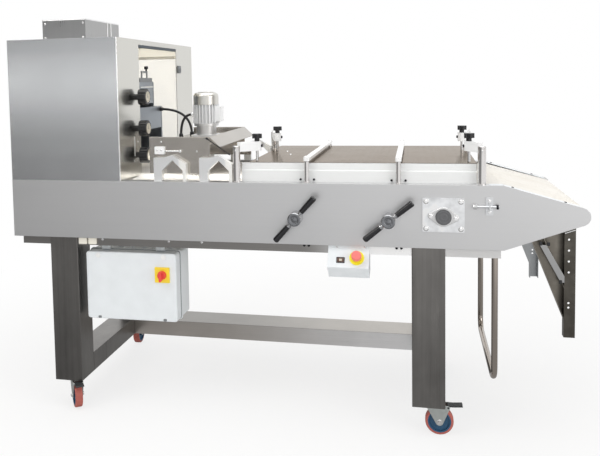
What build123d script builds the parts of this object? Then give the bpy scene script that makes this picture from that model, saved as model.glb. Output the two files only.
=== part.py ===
"""Bread dough moulder: sheeting head, belt bed with pressure board, and a stand on castors."""
import os
from math import asin, atan2, cos, hypot, pi, radians, sin, sqrt

from build123d import *

os.makedirs("parts", exist_ok=True)

# Heights are above the floor. Lengths "from the left" start at the left end of the bed, lengths
# "from the nose" at its right end, and depths "from the front" at the front panel's outer face.

# Bed and its side panels
bed_length = 2340.0
bed_depth = 880.0
panel_top = 1011.0
panel_bottom = 765.0
panel_sheet = 4.0
top_fold = 50.0
bottom_fold = 50.0
taper_length = 303.0
nose_height = 899.0
nose_radius = 34.0
boss_length = 22.0
boss_wall = 8.0

# Belt and the rollers that it runs over
belt_thickness = 2.0
belt_gap = 0.3
belt_edge_gap = 10.0
belt_drop = 8.0
tail_from_left = 90.0
tail_radius = 38.0
nose_roller_radius = 28.0
bend_radius = 30.0
bend_before_taper = 6.0
drum_from_nose = 524.0
drum_from_left = bed_length - drum_from_nose
drum_height = 890.0
drum_radius = 58.0
drum_shaft_radius = 17.5
tension_from_nose = 395.0
tension_from_left = bed_length - tension_from_nose
tension_height = 912.0
tension_radius = 24.0
roller_shaft_radius = 12.5
slider_sheet = 3.0
slider_start_gap = 22.0
shaft_chamfer = 1.5
end_play = 1.0
running_gap = 0.05

# Drum bearings and belt tensioners on the outside of the panels
bearing_plate_length = 156.0
bearing_plate_height = 131.0
bearing_plate_rise = 6.0
bearing_plate_sheet = 6.0
bearing_cap_radius = 29.5
bearing_cap_length = 14.0
tensioner_from_nose = 356.0
tensioner_from_left = bed_length - tensioner_from_nose
tensioner_height = 932.0
tensioner_width = 27.0
tensioner_tall = 68.0
tensioner_sheet = 5.0
tensioner_lug = 24.0
tensioner_lug_tall = 28.0
tensioner_rod_radius = 4.5
tensioner_rod_length = 92.0
tensioner_rod_left = 57.0
tensioner_nut = 18.0
tensioner_nut_length = 11.0
outside_corner = 4.0

# Cam levers on the front panel
lever_reach = 62.0
lever_height = 875.0
lever_left_from_left = 1249.0
lever_right_from_nose = 729.0
lever_right_from_left = bed_length - lever_right_from_nose
lever_left_angle = 48.0
lever_right_angle = 39.0
lever_hub_radius = 27.0
lever_hub_chamfer = 2.0
lever_arm = 118.0
lever_rod_radius = 7.0
lever_grip_radius = 12.5
lever_grip_neck_radius = 10.5
lever_grip_start = 33.0
lever_grip_end = 5.0
lever_grip_end_taper = 30.0
lever_shaft_radius = 10.0
lever_cam_hub_radius = 21.5
lever_cam_radius = 24.0
lever_cam_thickness = 12.0
seat_gap = 0.3

# Head cabinet and hopper
head_length = 504.0
head_depth = 1040.0
head_top = 1614.0
head_sheet = 3.0
head_bend = 2.5
window_front = 247.0
window_rear = 775.0
window_lintel = 22.0
hopper_from_left = 48.0
hopper_length = 212.0
hopper_from_front = 230.0
hopper_width = 382.0
hopper_height = 102.0
hopper_lip = 12.0
pane_from_left = 60.0
pane_length = 384.0
pane_bottom = 1080.0
pane_height = 470.0
pane_sheet = 5.0
pane_lap = 15.0

# Sheeting rollers between their side plates
plate_front = 247.0
plate_spacing = 326.0
plate_sheet = 15.0
plate_bottom = 1040.0
plate_step = 1305.0
plate_top = 1425.0
plate_upper_length = 440.0
plate_lower_length = 480.0
sheeter_radius = 55.0
sheeter_shaft_radius = 15.0
sheeter_nip = 6.0
upper_nip_from_left = 178.0
upper_nip_height = 1359.0
lower_nip_from_left = 330.0
lower_nip_height = 1220.0
nip_open = 14.0
nip_close = 4.0
side_gap = 0.5
block_length = 64.0
block_height = 58.0
block_depth = 64.0
block_corner = 6.0
shaft_stub = 34.0
guard_sheet = 6.0
guard_height = 104.0
guard_lip = 30.0

# Gap handwheels on the polished strip beside the window
wheel_from_front = 198.0
wheel_reach = 56.0
wheel_radius = 36.0
wheel_thickness = 36.0
wheel_edge = 2.5
wheel_lobes = 7
wheel_scallop_radius = 7.0
wheel_scallop_out = 3.0
wheel_hub_radius = 13.5
dial_radius = 18.0
dial_depth = 3.0
wheel_screw_radius = 8.0
wheel_screw_gap = 0.5
wheel_screw_over = 10.0
third_wheel_height = 1102.0
third_screw_length = 150.0

# Hood behind the head, its arch brackets and curling net
hood_from_left = 617.0
hood_length = 264.0
hood_depth = 640.0
hood_sheet = 3.0
hood_top = 1193.0
hood_rim = 30.0
hood_bottom = 1040.0
hood_shelf = 1100.0
apron_reach = 46.0
apron_drop = 43.0
arch_from_left = 645.0
arch_pitch = 198.0
arch_length = 140.0
arch_depth = 30.0
arch_height = 97.0
arch_peak = 108.0
arch_peak_from_foot = 82.0
arch_end_height = 72.0
arch_pillar = 36.0
arch_opening = 90.0
arch_opening_side = 44.0
arch_opening_peak = 87.0
net_bar_radius = 7.0
net_bar_rise = 9.0
net_lift = 5.0
net_sheet = 2.0
net_length = 190.0
net_rows = 4
net_columns = 14
net_strand = 5.0

# Gearmotor standing on the hood
motor_from_left = 757.0
motor_from_front = 440.0
gearbox_flange = 124.0
gearbox_flange_sheet = 12.0
gearbox_corner = 14.0
gearbox_radius = 46.0
gearbox_height = 65.0
motor_core_radius = 49.0
motor_fin_radius = 60.0
motor_fin_thickness = 3.0
motor_fin_root = 2.0
motor_fin_count = 24
motor_height = 87.0
fan_cover_radius = 59.0
fan_cover_height = 58.0
fan_cover_round = 20.0
fan_cover_rise = 2.0
fan_cover_hollow = 33.0
fan_cover_sheet = 2.0
terminal_depth = 58.0
terminal_height = 70.0
terminal_reach = 76.0

# Cables of the head
cable_radius = 6.0
cable_height = 1290.0
cable_from_front = 580.0
cable_bend = 100.0
cable_from_hood = 24.0
lead_height_on_motor = 40.0
lead_gland_radius = 10.0
lead_gland_length = 12.0
lead_bend = 42.0
lead_run = 12.0

# Posts, side guides and pressure board
post_inset = 30.0
post_chamfer = 1.5
corner_post_radius = 15.5
corner_post_top = 1157.0
corner_left_from_left = 1000.0
corner_right_from_nose = 381.0
corner_right_from_left = bed_length - corner_right_from_nose
middle_post_radius = 10.0
middle_post_top = 1098.0
middle_left_from_left = 1288.0
middle_right_from_nose = 692.0
middle_right_from_left = bed_length - middle_right_from_nose
cross_bar_width = 24.0
cross_bar_height = 12.0
cross_bar_corner = 6.0
guide_gap = 2.0
guide_foot = 16.0
guide_web = 10.0
guide_ridge = 45.0
guide_bevel = 4.0
guide_height = 75.0
board_left_from_left = 1046.0
board_right_from_nose = 396.0
board_right_from_left = bed_length - board_right_from_nose
board_side_gap = 6.0
board_top = 1088.0
board_sheet = 4.0
board_skirt = 28.0

# Height screws of the pressure board
screw_left_offset = 72.0
screw_right_offset = 43.0
screw_front_offset = 70.0
screw_rear_offset = 290.0
screw_radius = 6.0
screw_nut_gap = 0.5
screw_below_board = 24.0
clamp_height = 38.0
clamp_top = 1171.0
clamp_seat_radius = 12.0
clamp_screw_wall = 12.0
knob_radius = 21.0
knob_core_radius = 15.0
knob_lobe_radius = 6.5
knob_lobes = 5
knob_height = 19.0
knob_edge = 1.5
knob_hub_radius = 10.5
knob_hub = 12.0

# Stand
leg_bottom = 127.0
leg_width = 127.0
leg_depth = 125.0
leg_sheet = 3.0
leg_corner = 4.0
leg_setback = 12.0
left_leg_from_left = 164.0
right_leg_from_nose = 643.0
right_leg_from_left = bed_length - right_leg_from_nose
beam_height = 85.0
rail_height = 34.0
rail_depth = 50.0
rail_setback = 16.0
rail_sheet = 3.0
rail_from_left = 34.0
rail_right_from_nose = 312.0
rail_right_from_left = bed_length - rail_right_from_nose
end_member_width = 40.0
stretcher_depth = 165.0
stretcher_height = 77.0
stretcher_from_rear = 73.0
foot_plate = 6.0

# Castors
castor_wheel_radius = 55.0
castor_wheel_width = 32.0
castor_tread_round = 5.0
castor_web_radius = 39.5
castor_web_sink = 6.0
castor_boss_radius = 16.5
castor_trail = 42.0
castor_hub_radius = 15.0
castor_axle_radius = 6.0
castor_cheek = 4.0
castor_cheek_gap = 2.0
castor_crown = 4.0
castor_crown_over = 10.0
castor_race = 6.0
castor_race_step = 3.0
castor_head_radius = 27.0
castor_pin_radius = 8.0
castor_seat = 0.4
castor_front_left_turn = -55.0
castor_front_right_turn = 0.0
castor_rear_left_turn = 93.0
castor_rear_right_turn = 24.0
pedal_length = 56.0
pedal_flat = 20.0
pedal_heel = 2.0
pedal_side_gap = 1.0
pedal_pivot_forward = 34.0
pedal_pivot_drop = 6.0
pedal_sheet = 6.0
pedal_rise = 5.0
pedal_pivot_radius = 4.0
pedal_ear = 3.0

# Electrical box below the bed
box_from_left = 320.0
box_length = 408.0
box_height = 294.0
box_below_rail = 31.0
box_from_front = 88.0
box_depth = 112.0
box_wall = 4.0
box_rim = 4.0
box_rim_depth = 8.0
box_lid_depth = 58.0
box_lid_round = 6.0
box_corner = 12.0
box_tab_width = 40.0
box_tab_sheet = 4.0
box_tab_height = 50.0
box_tab_inset = 80.0
gland_count = 6
gland_radius = 11.0
gland_height = 12.0
gland_from_rim = 50.0
switch_plate = 66.0
switch_plate_sheet = 4.0
switch_plate_corner = 3.0
switch_from_right = 61.0
switch_from_top = 91.0
switch_radius = 19.0
switch_height = 14.0
switch_taper = 8.0
switch_grip_width = 11.0
switch_grip_length = 44.0
switch_grip_height = 16.0
switch_grip_corner = 4.4
switch_stem_radius = 6.0

# Control box with start rocker and emergency stop
control_from_nose = 966.0
control_from_left = bed_length - control_from_nose
control_length = 161.0
control_over_rail = 24.0
control_flange = 9.0
control_face_setback = 8.0
control_face_reach = 36.0
control_face_drop = 69.0
control_belly_setback = 12.0
control_belly_drop = 119.0
control_back_setback = 62.0
control_back_drop = 96.0
control_corner = 4.0
rocker_from_middle = -30.0
rocker_above_middle = -9.0
rocker_length = 25.0
rocker_height = 17.0
rocker_proud = 3.0
rocker_dip = 2.0
rocker_axis_depth = 4.0
rocker_sunk = 7.0
rocker_gap = 1.2
rocker_pocket = 10.5
rocker_pin_radius = 2.0
rocker_pin_length = 2.0
stop_from_middle = 33.0
stop_collar_radius = 29.0
stop_collar_sheet = 4.0
stop_radius = 20.0
stop_height = 18.0
stop_neck = 8.0
stop_crown = 6.0
stop_stem_radius = 11.0
stop_stem_depth = 10.0
stop_travel = 6.0

# Tube loop and outfeed tray brackets
loop_from_nose = 332.0
loop_from_left = bed_length - loop_from_nose
loop_tube_radius = 12.0
loop_tube_wall = 2.0
loop_from_front = 42.0
loop_depth = 632.0
loop_bottom = 245.0
loop_bend = 58.0
tray_post_from_nose = 90.0
tray_post_width = 39.5
tray_post_depth = 32.0
tray_post_bottom = 443.0
tray_post_top = 878.0
tray_sheet = 3.0
tray_hole_radius = 4.0
tray_hole_inset = 16.0
tray_hole_top = 813.0
tray_hole_pitch = 41.0
tray_hole_count = 4
tray_low_hole_top = 574.0
tray_low_hole_pitch = 17.0
tray_low_hole_count = 2
tray_brace_low = 510.0
tray_brace_width = 46.0
tray_brace_reach = 127.0
tray_brace_top = 835.0

# Places that follow from the sizes above
left_end = -bed_length / 2
front_face = (lever_reach - head_depth) / 2
rear_face = front_face + bed_depth
middle_depth = (front_face + rear_face) / 2
taper_start = left_end + bed_length - taper_length
nose_centre = (left_end + bed_length - nose_radius, nose_height)
belt_top = panel_top - belt_drop
belt_width = bed_depth - 2 * (top_fold + belt_edge_gap)
slider_top = belt_top - belt_thickness - belt_gap
tail_centre = (left_end + tail_from_left, slider_top - tail_radius)
bend_centre = (taper_start - bend_before_taper, slider_top - bend_radius)
drum_centre = (left_end + drum_from_left, drum_height)
tension_centre = (left_end + tension_from_left, tension_height)
rail_top = panel_bottom
rail_bottom = rail_top - rail_height
hood_left = left_end + hood_from_left
hood_right = hood_left + hood_length
hood_front = front_face + top_fold
hood_rear = hood_front + hood_depth
hood_back = rear_face - top_fold
hood_deck = hood_top - hood_rim


def facing_front(depth):
    """Upright plane across the bed, seen from the front: local x is X and local y is Z."""
    return Plane(origin=(0, depth, 0), x_dir=(1, 0, 0), z_dir=(0, -1, 0))


def facing_right(length):
    """Upright plane across the bed's length: local x is Y and local y is Z."""
    return Plane(origin=(length, 0, 0), x_dir=(0, 1, 0), z_dir=(1, 0, 0))


def write(builder, name):
    """Label a finished piece and write it as its own file."""
    builder.part.label = name
    export_step(builder.part, f"parts/{name}.step")


def tangent_point(corner, centre, radius, side):
    """Point where a line from a corner touches a circle, on its left (+1) or right (-1)."""
    reach = hypot(centre[0] - corner[0], centre[1] - corner[1])
    heading = atan2(centre[1] - corner[1], centre[0] - corner[0]) + side * asin(radius / reach)
    run = sqrt(reach ** 2 - radius ** 2)
    return (corner[0] + run * cos(heading), corner[1] + run * sin(heading))


# Side panels: a folded sheet with a tapered, rounded nose and bearing bosses on its inside
def side_panel(name, outer, inward):
    face = facing_front(outer)
    boss_end = facing_front(outer + inward * (panel_sheet + boss_length))
    upper = tangent_point((taper_start, panel_top), nose_centre, nose_radius, 1)
    lower = tangent_point((taper_start, panel_bottom), nose_centre, nose_radius, -1)
    tip = (nose_centre[0] + nose_radius, nose_height)
    fold_length = taper_start - left_end
    boss_places = [tail_centre, nose_centre, tension_centre]
    with BuildPart() as panel:
        with BuildSketch(face):
            with BuildLine():
                Polyline((taper_start, panel_top), (left_end, panel_top),
                         (left_end, panel_bottom), (taper_start, panel_bottom), lower)
                ThreePointArc(lower, tip, upper)
                Line(upper, (taper_start, panel_top))
            make_face()
        extrude(amount=-inward * panel_sheet)
        with BuildSketch(face):
            with Locations((left_end, panel_top - panel_sheet)):
                Rectangle(fold_length, panel_sheet, align=(Align.MIN, Align.MIN))
        extrude(amount=-inward * top_fold)
        with BuildSketch(face):
            with Locations((left_end, panel_bottom)):
                Rectangle(fold_length, panel_sheet, align=(Align.MIN, Align.MIN))
        extrude(amount=-inward * bottom_fold)
        with BuildSketch(face):
            with Locations(*boss_places):
                Circle(roller_shaft_radius + boss_wall)
        extrude(amount=-inward * (panel_sheet + boss_length))
        with BuildSketch(boss_end):
            with Locations(*boss_places):
                Circle(roller_shaft_radius + running_gap)
        extrude(amount=inward * boss_length, mode=Mode.SUBTRACT)
        with BuildSketch(face):
            with Locations(drum_centre):
                Circle(drum_shaft_radius + seat_gap)
            if inward > 0:
                with Locations((left_end + lever_left_from_left, lever_height),
                               (left_end + lever_right_from_left, lever_height)):
                    Circle(lever_shaft_radius + running_gap)
        extrude(amount=-inward * panel_sheet, mode=Mode.SUBTRACT)
    write(panel, name)


side_panel("side_panel_front", front_face, 1)
side_panel("side_panel_rear", rear_face, -1)


# Conveyor belt: a closed band that runs over the bed, round the nose and under the drum.
# Each wheel on its way is (centre, radius, side), where side is -1 inside the loop and 1 outside.
belt_way = [
    (tail_centre, tail_radius, -1),
    (bend_centre, bend_radius, -1),
    (nose_centre, nose_roller_radius, -1),
    (tension_centre, tension_radius, 1),
    (drum_centre, drum_radius, -1),
]


def belt_reach(wheel, outer):
    """Signed distance from a wheel's centre to the inner or outer face of the belt."""
    radius, side = wheel[1] + belt_gap, wheel[2]
    beyond = belt_thickness if outer == (side < 0) else 0.0
    return side * (radius + beyond)


def belt_tangent(wheel, following, outer):
    """Both ends of the straight run between two wheels."""
    (x1, z1), (x2, z2) = wheel[0], following[0]
    near, far = belt_reach(wheel, outer), belt_reach(following, outer)
    heading = atan2(z2 - z1, x2 - x1) - asin((far - near) / hypot(x2 - x1, z2 - z1))
    left = (-sin(heading), cos(heading))
    return ((x1 - near * left[0], z1 - near * left[1]), (x2 - far * left[0], z2 - far * left[1]))


def belt_outline(outer):
    """Runs and wraps of one face of the belt, drawn into the current line."""
    count = len(belt_way)
    runs = [belt_tangent(belt_way[i], belt_way[(i + 1) % count], outer) for i in range(count)]
    for i in range(count):
        (x, z), _, side = belt_way[i]
        start, end = runs[i - 1][1], runs[i][0]
        first = atan2(start[1] - z, start[0] - x)
        sweep = (atan2(end[1] - z, end[0] - x) - first) * side % (2 * pi)
        middle = first + side * sweep / 2
        radius = abs(belt_reach(belt_way[i], outer))
        ThreePointArc(start, (x + radius * cos(middle), z + radius * sin(middle)), end)
        Line(*runs[i])


with BuildPart() as belt:
    with BuildSketch(facing_front(middle_depth - belt_width / 2)):
        with BuildLine():
            belt_outline(outer=True)
        make_face()
        with BuildLine():
            belt_outline(outer=False)
        make_face(mode=Mode.SUBTRACT)
    extrude(amount=-belt_width)
write(belt, "conveyor_belt")


# Slider bed: a flat sheet under the carrying run, rolled over at the start of the slope
with BuildPart() as slider:
    slider_left = tail_centre[0] + tail_radius + slider_start_gap
    with BuildSketch(facing_front(front_face + panel_sheet)):
        with Locations((slider_left, slider_top)):
            Rectangle(bend_centre[0] - slider_left, slider_sheet, align=(Align.MIN, Align.MAX))
    extrude(amount=-(bed_depth - 2 * panel_sheet))
    with BuildSketch(facing_front(middle_depth - belt_width / 2)):
        with Locations(bend_centre):
            Circle(bend_radius)
            Circle(bend_radius - 2 * slider_sheet, mode=Mode.SUBTRACT)
    extrude(amount=-belt_width)
write(slider, "slider_bed")


# Rollers of the conveyor, each with a shaft that runs in the panels
def conveyor_roller(name, centre, radius, shaft_radius, shaft_end):
    with BuildPart() as roller:
        with BuildSketch(facing_front(middle_depth)):
            with Locations(centre):
                Circle(radius)
        extrude(amount=belt_width / 2, both=True)
        with BuildSketch(facing_front(middle_depth)):
            with Locations(centre):
                Circle(shaft_radius)
        extrude(amount=shaft_end, both=True)
        chamfer(roller.edges().filter_by(GeomType.CIRCLE).sort_by(Axis.Y)[0], shaft_chamfer)
        chamfer(roller.edges().filter_by(GeomType.CIRCLE).sort_by(Axis.Y)[-1], shaft_chamfer)
    write(roller, name)


inner_shaft_end = bed_depth / 2 - panel_sheet - end_play
drum_shaft_end = bed_depth / 2 + bearing_plate_sheet + bearing_cap_length / 2
conveyor_roller("tail_roller", tail_centre, tail_radius, roller_shaft_radius, inner_shaft_end)
conveyor_roller("nose_roller", nose_centre, nose_roller_radius, roller_shaft_radius, inner_shaft_end)
conveyor_roller("tension_roller", tension_centre, tension_radius, roller_shaft_radius, inner_shaft_end)
conveyor_roller("drive_drum", drum_centre, drum_radius, drum_shaft_radius, drum_shaft_end)


# Drum bearing plates, one on the outside of each panel, with a round bearing cover
with BuildPart() as bearing_plates:
    for outer, outward in ((front_face, 1), (rear_face, -1)):
        with BuildSketch(facing_front(outer)):
            with Locations((drum_centre[0], drum_height + bearing_plate_rise)):
                RectangleRounded(bearing_plate_length, bearing_plate_height, outside_corner)
        extrude(amount=outward * bearing_plate_sheet)
        with BuildSketch(facing_front(outer)):
            with Locations(drum_centre):
                Circle(bearing_cap_radius)
        extrude(amount=outward * (bearing_plate_sheet + bearing_cap_length))
        with BuildSketch(facing_front(outer)):
            with Locations(drum_centre):
                Circle(drum_shaft_radius + running_gap)
        bore_depth = bearing_plate_sheet + bearing_cap_length / 2 + end_play
        extrude(amount=outward * bore_depth, mode=Mode.SUBTRACT)
write(bearing_plates, "drum_bearing_plates")


# Belt tensioners: an angle bracket with a threaded rod and its nut along the panel
with BuildPart() as tensioners:
    for outer, outward in ((front_face, 1), (rear_face, -1)):
        bracket_middle = left_end + tensioner_from_left
        rod_depth = outer - outward * tensioner_lug / 2
        rod_left = bracket_middle - tensioner_rod_left
        with BuildSketch(facing_front(outer)):
            with Locations((bracket_middle, tensioner_height)):
                RectangleRounded(tensioner_width, tensioner_tall, outside_corner)
        extrude(amount=outward * tensioner_sheet)
        with BuildSketch(facing_front(outer)):
            with Locations((bracket_middle, tensioner_height)):
                Rectangle(tensioner_sheet, tensioner_lug_tall)
        extrude(amount=outward * tensioner_lug)
        with BuildSketch(facing_right(rod_left)):
            with Locations((rod_depth, tensioner_height)):
                Circle(tensioner_rod_radius)
        extrude(amount=tensioner_rod_length)
        with BuildSketch(facing_right(rod_left)):
            with Locations((rod_depth, tensioner_height)):
                RegularPolygon(tensioner_nut / 2, 6)
        extrude(amount=tensioner_nut_length)
write(tensioners, "belt_tensioners")


# Cam levers: a round hub with two gripped arms outside the panel and a cam inside it
def cam_lever(name, from_left, angle):
    hub_x = left_end + from_left
    arm_depth = front_face - lever_reach + lever_grip_radius
    hub_back = front_face - seat_gap
    direction = (cos(radians(angle)), 0, sin(radians(angle)))
    with BuildPart() as lever:
        with BuildSketch(facing_front(hub_back)):
            with Locations((hub_x, lever_height)):
                Circle(lever_hub_radius)
        extrude(amount=lever_reach - seat_gap)
        chamfer(lever.edges().sort_by(Axis.Y)[0], lever_hub_chamfer)
        for side in (1, -1):
            outward = tuple(side * part for part in direction)
            arm = Plane(origin=(hub_x, arm_depth, lever_height), x_dir=(0, 1, 0), z_dir=outward)
            with BuildSketch(arm):
                Circle(lever_rod_radius)
            extrude(amount=lever_arm - lever_grip_end)
            with BuildSketch(arm.offset(lever_grip_start)):
                Circle(lever_grip_neck_radius)
            with BuildSketch(arm.offset(lever_arm - lever_grip_end)):
                Circle(lever_grip_radius)
            loft()
            with BuildSketch(arm.offset(lever_arm - lever_grip_end)):
                Circle(lever_grip_radius)
            extrude(amount=lever_grip_end, taper=lever_grip_end_taper)
        shaft_length = seat_gap + panel_sheet + seat_gap + lever_cam_thickness
        with BuildSketch(facing_front(hub_back)):
            with Locations((hub_x, lever_height)):
                Circle(lever_shaft_radius)
        extrude(amount=-shaft_length)
        with BuildSketch(facing_front(front_face + panel_sheet + seat_gap)):
            with Locations((hub_x, lever_height)):
                Circle(lever_cam_hub_radius)
            with Locations((hub_x, lever_height + lever_cam_radius)):
                Circle(lever_cam_radius / 2)
            make_hull()
        extrude(amount=-lever_cam_thickness)
    write(lever, name)


cam_lever("cam_lever_left", lever_left_from_left, lever_left_angle)
cam_lever("cam_lever_right", lever_right_from_left, lever_right_angle)


# Head cabinet: a folded sheet box, open below the rollers, with a tall window in its right side
# and a pane's opening in its rear wall
upper_wheel_place = (front_face + wheel_from_front, upper_nip_height)
lower_wheel_place = (front_face + wheel_from_front, lower_nip_height)
third_wheel_place = (front_face + wheel_from_front, third_wheel_height)
head_right = left_end + head_length
pane_middle = (left_end + pane_from_left + pane_length / 2, pane_bottom + pane_height / 2)
hopper_middle = (left_end + hopper_from_left + hopper_length / 2,
                 front_face + hopper_from_front + hopper_width / 2)
with BuildPart() as cabinet:
    with BuildSketch(Plane.XY.offset(panel_top)):
        with Locations((left_end, front_face)):
            Rectangle(head_length, head_depth, align=(Align.MIN, Align.MIN))
    extrude(amount=head_top - panel_top)
    fillet(cabinet.edges().filter_by(Axis.Z).sort_by(Axis.Y)[:2], head_bend)
    with BuildSketch(Plane.XY.offset(panel_top)):
        with Locations((left_end + head_sheet, front_face + head_sheet)):
            Rectangle(head_length - 2 * head_sheet, bed_depth - 2 * head_sheet,
                      align=(Align.MIN, Align.MIN))
    extrude(amount=head_sheet, mode=Mode.SUBTRACT)
    with BuildSketch(Plane.XY.offset(panel_top + head_sheet)):
        with Locations((left_end + head_sheet, front_face + head_sheet)):
            Rectangle(head_length - 2 * head_sheet, head_depth - 2 * head_sheet,
                      align=(Align.MIN, Align.MIN))
    extrude(amount=head_top - panel_top - 2 * head_sheet, mode=Mode.SUBTRACT)
    with BuildSketch(facing_right(head_right - head_sheet)):
        with Locations((front_face + window_front, panel_top)):
            Rectangle(window_rear - window_front, head_top - panel_top - window_lintel,
                      align=(Align.MIN, Align.MIN))
        with Locations(upper_wheel_place, lower_wheel_place, third_wheel_place):
            Circle(wheel_screw_radius + running_gap)
    extrude(amount=head_sheet, mode=Mode.SUBTRACT)
    with BuildSketch(facing_front(front_face + head_depth)):
        with Locations(pane_middle):
            Rectangle(pane_length, pane_height)
    extrude(amount=head_sheet, mode=Mode.SUBTRACT)
    with BuildSketch(Plane.XY.offset(head_top - head_sheet)):
        with Locations(hopper_middle):
            Rectangle(hopper_length - 2 * hopper_lip, hopper_width - 2 * hopper_lip)
    extrude(amount=head_sheet, mode=Mode.SUBTRACT)
write(cabinet, "head_cabinet")


# Hopper: a short upright sheet chute on the head
with BuildPart() as hopper:
    with BuildSketch(Plane.XY.offset(head_top)):
        with Locations(hopper_middle):
            Rectangle(hopper_length, hopper_width)
            Rectangle(hopper_length - 2 * head_sheet, hopper_width - 2 * head_sheet, mode=Mode.SUBTRACT)
    extrude(amount=hopper_height)
write(hopper, "hopper")


# Side plates of the sheeting rollers, stepped where the lower pair stands further out
plate_faces = (front_face + plate_front, front_face + plate_front + plate_sheet + plate_spacing)
nip_half = sheeter_radius + sheeter_nip / 2
upper_fixed = (left_end + upper_nip_from_left - nip_half, upper_nip_height)
upper_moving = (left_end + upper_nip_from_left + nip_half, upper_nip_height)
lower_fixed = (left_end + lower_nip_from_left - nip_half, lower_nip_height)
lower_moving = (left_end + lower_nip_from_left + nip_half, lower_nip_height)
with BuildPart() as roller_plates:
    for plate_face in plate_faces:
        with BuildSketch(facing_front(plate_face)):
            with BuildLine():
                Polyline((left_end + head_sheet, plate_bottom),
                         (left_end + plate_lower_length, plate_bottom),
                         (left_end + plate_lower_length, plate_step),
                         (left_end + plate_upper_length, plate_step),
                         (left_end + plate_upper_length, plate_top),
                         (left_end + head_sheet, plate_top), close=True)
            make_face()
            with Locations(upper_fixed, lower_fixed):
                Circle(sheeter_shaft_radius + running_gap, mode=Mode.SUBTRACT)
            for centre in (upper_moving, lower_moving):
                with Locations((centre[0] + (nip_open - nip_close) / 2, centre[1])):
                    SlotCenterToCenter(nip_open + nip_close + 2 * side_gap,
                                       2 * (sheeter_shaft_radius + side_gap), mode=Mode.SUBTRACT)
        extrude(amount=-plate_sheet)
write(roller_plates, "roller_side_plates")


# Sheeting rollers: a smooth barrel on a shaft
plate_inner = (plate_faces[0] + plate_sheet, plate_faces[1])
roller_middle = (plate_inner[0] + plate_inner[1]) / 2


def sheeting_roller(name, centre):
    with BuildPart() as roller:
        with BuildSketch(facing_front(roller_middle)):
            with Locations(centre):
                Circle(sheeter_radius)
        extrude(amount=plate_spacing / 2 - side_gap, both=True)
        with BuildSketch(facing_front(roller_middle)):
            with Locations(centre):
                Circle(sheeter_shaft_radius)
        extrude(amount=plate_spacing / 2 + plate_sheet + shaft_stub, both=True)
    write(roller, name)


sheeting_roller("upper_fixed_roller", upper_fixed)
sheeting_roller("upper_moving_roller", upper_moving)
sheeting_roller("lower_fixed_roller", lower_fixed)
sheeting_roller("lower_moving_roller", lower_moving)


# Sliding bearing blocks of a moving roller: the front one is driven by its handwheel's screw
def bearing_blocks(name, centre):
    front_block = plate_faces[0] - seat_gap
    rear_block = plate_faces[1] + plate_sheet + seat_gap
    with BuildPart() as blocks:
        for face, outward in ((front_block, 1), (rear_block, -1)):
            with BuildSketch(facing_front(face)):
                with Locations(centre):
                    RectangleRounded(block_length, block_height, block_corner)
                    Circle(sheeter_shaft_radius + running_gap, mode=Mode.SUBTRACT)
            extrude(amount=outward * (shaft_stub + end_play))
            with BuildSketch(facing_front(face - outward * (shaft_stub + end_play))):
                with Locations(centre):
                    RectangleRounded(block_length, block_height, block_corner)
            extrude(amount=outward * (block_depth - shaft_stub - end_play))
        with BuildSketch(facing_right(centre[0] - block_length / 2)):
            with Locations((front_face + wheel_from_front, centre[1])):
                Circle(wheel_screw_radius + wheel_screw_gap)
        extrude(amount=block_length, mode=Mode.SUBTRACT)
    write(blocks, name)


bearing_blocks("upper_bearing_blocks", upper_moving)
bearing_blocks("lower_bearing_blocks", lower_moving)


# Roller guards: a lipped plate in front of each pair, and a pane behind them in the head's rear wall
with BuildPart() as guards:
    for right, top in ((left_end + plate_upper_length, plate_top),
                       (left_end + plate_lower_length, plate_step)):
        with BuildSketch(facing_front(plate_inner[0])):
            with Locations((right, top)):
                Rectangle(guard_sheet, guard_height, align=(Align.MAX, Align.MAX))
                Rectangle(guard_lip, guard_sheet, align=(Align.MAX, Align.MAX))
        extrude(amount=-plate_spacing)
    with BuildSketch(facing_front(front_face + head_depth - head_sheet)):
        with Locations(pane_middle):
            Rectangle(pane_length + 2 * pane_lap, pane_height + 2 * pane_lap)
    extrude(amount=pane_sheet)
write(guards, "roller_guards")


# Gap handwheels: a lobed wheel with a recessed dial on the end of its adjusting screw
def gap_handwheel(name, place, screw_left):
    wheel_back = head_right + wheel_reach - wheel_thickness
    with BuildPart() as wheel:
        with BuildSketch(facing_right(wheel_back)):
            with Locations(place):
                Circle(wheel_radius)
                with PolarLocations(wheel_radius + wheel_scallop_out, wheel_lobes):
                    Circle(wheel_scallop_radius, mode=Mode.SUBTRACT)
        extrude(amount=wheel_thickness)
        fillet(wheel.edges().group_by(Axis.X)[-1], wheel_edge)
        with BuildSketch(facing_right(wheel_back + wheel_thickness)):
            with Locations(place):
                Circle(dial_radius)
        extrude(amount=-dial_depth, mode=Mode.SUBTRACT)
        with BuildSketch(facing_right(wheel_back)):
            with Locations(place):
                Circle(wheel_hub_radius)
        extrude(amount=-(wheel_reach - wheel_thickness - seat_gap))
        with BuildSketch(facing_right(wheel_back)):
            with Locations(place):
                Circle(wheel_screw_radius)
        extrude(amount=screw_left - wheel_back)
    write(wheel, name)


screw_end = block_length / 2 + nip_close + wheel_screw_over
gap_handwheel("upper_handwheel", upper_wheel_place, upper_moving[0] - screw_end)
gap_handwheel("lower_handwheel", lower_wheel_place, lower_moving[0] - screw_end)
gap_handwheel("third_handwheel", third_wheel_place, head_right - third_screw_length)


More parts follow.
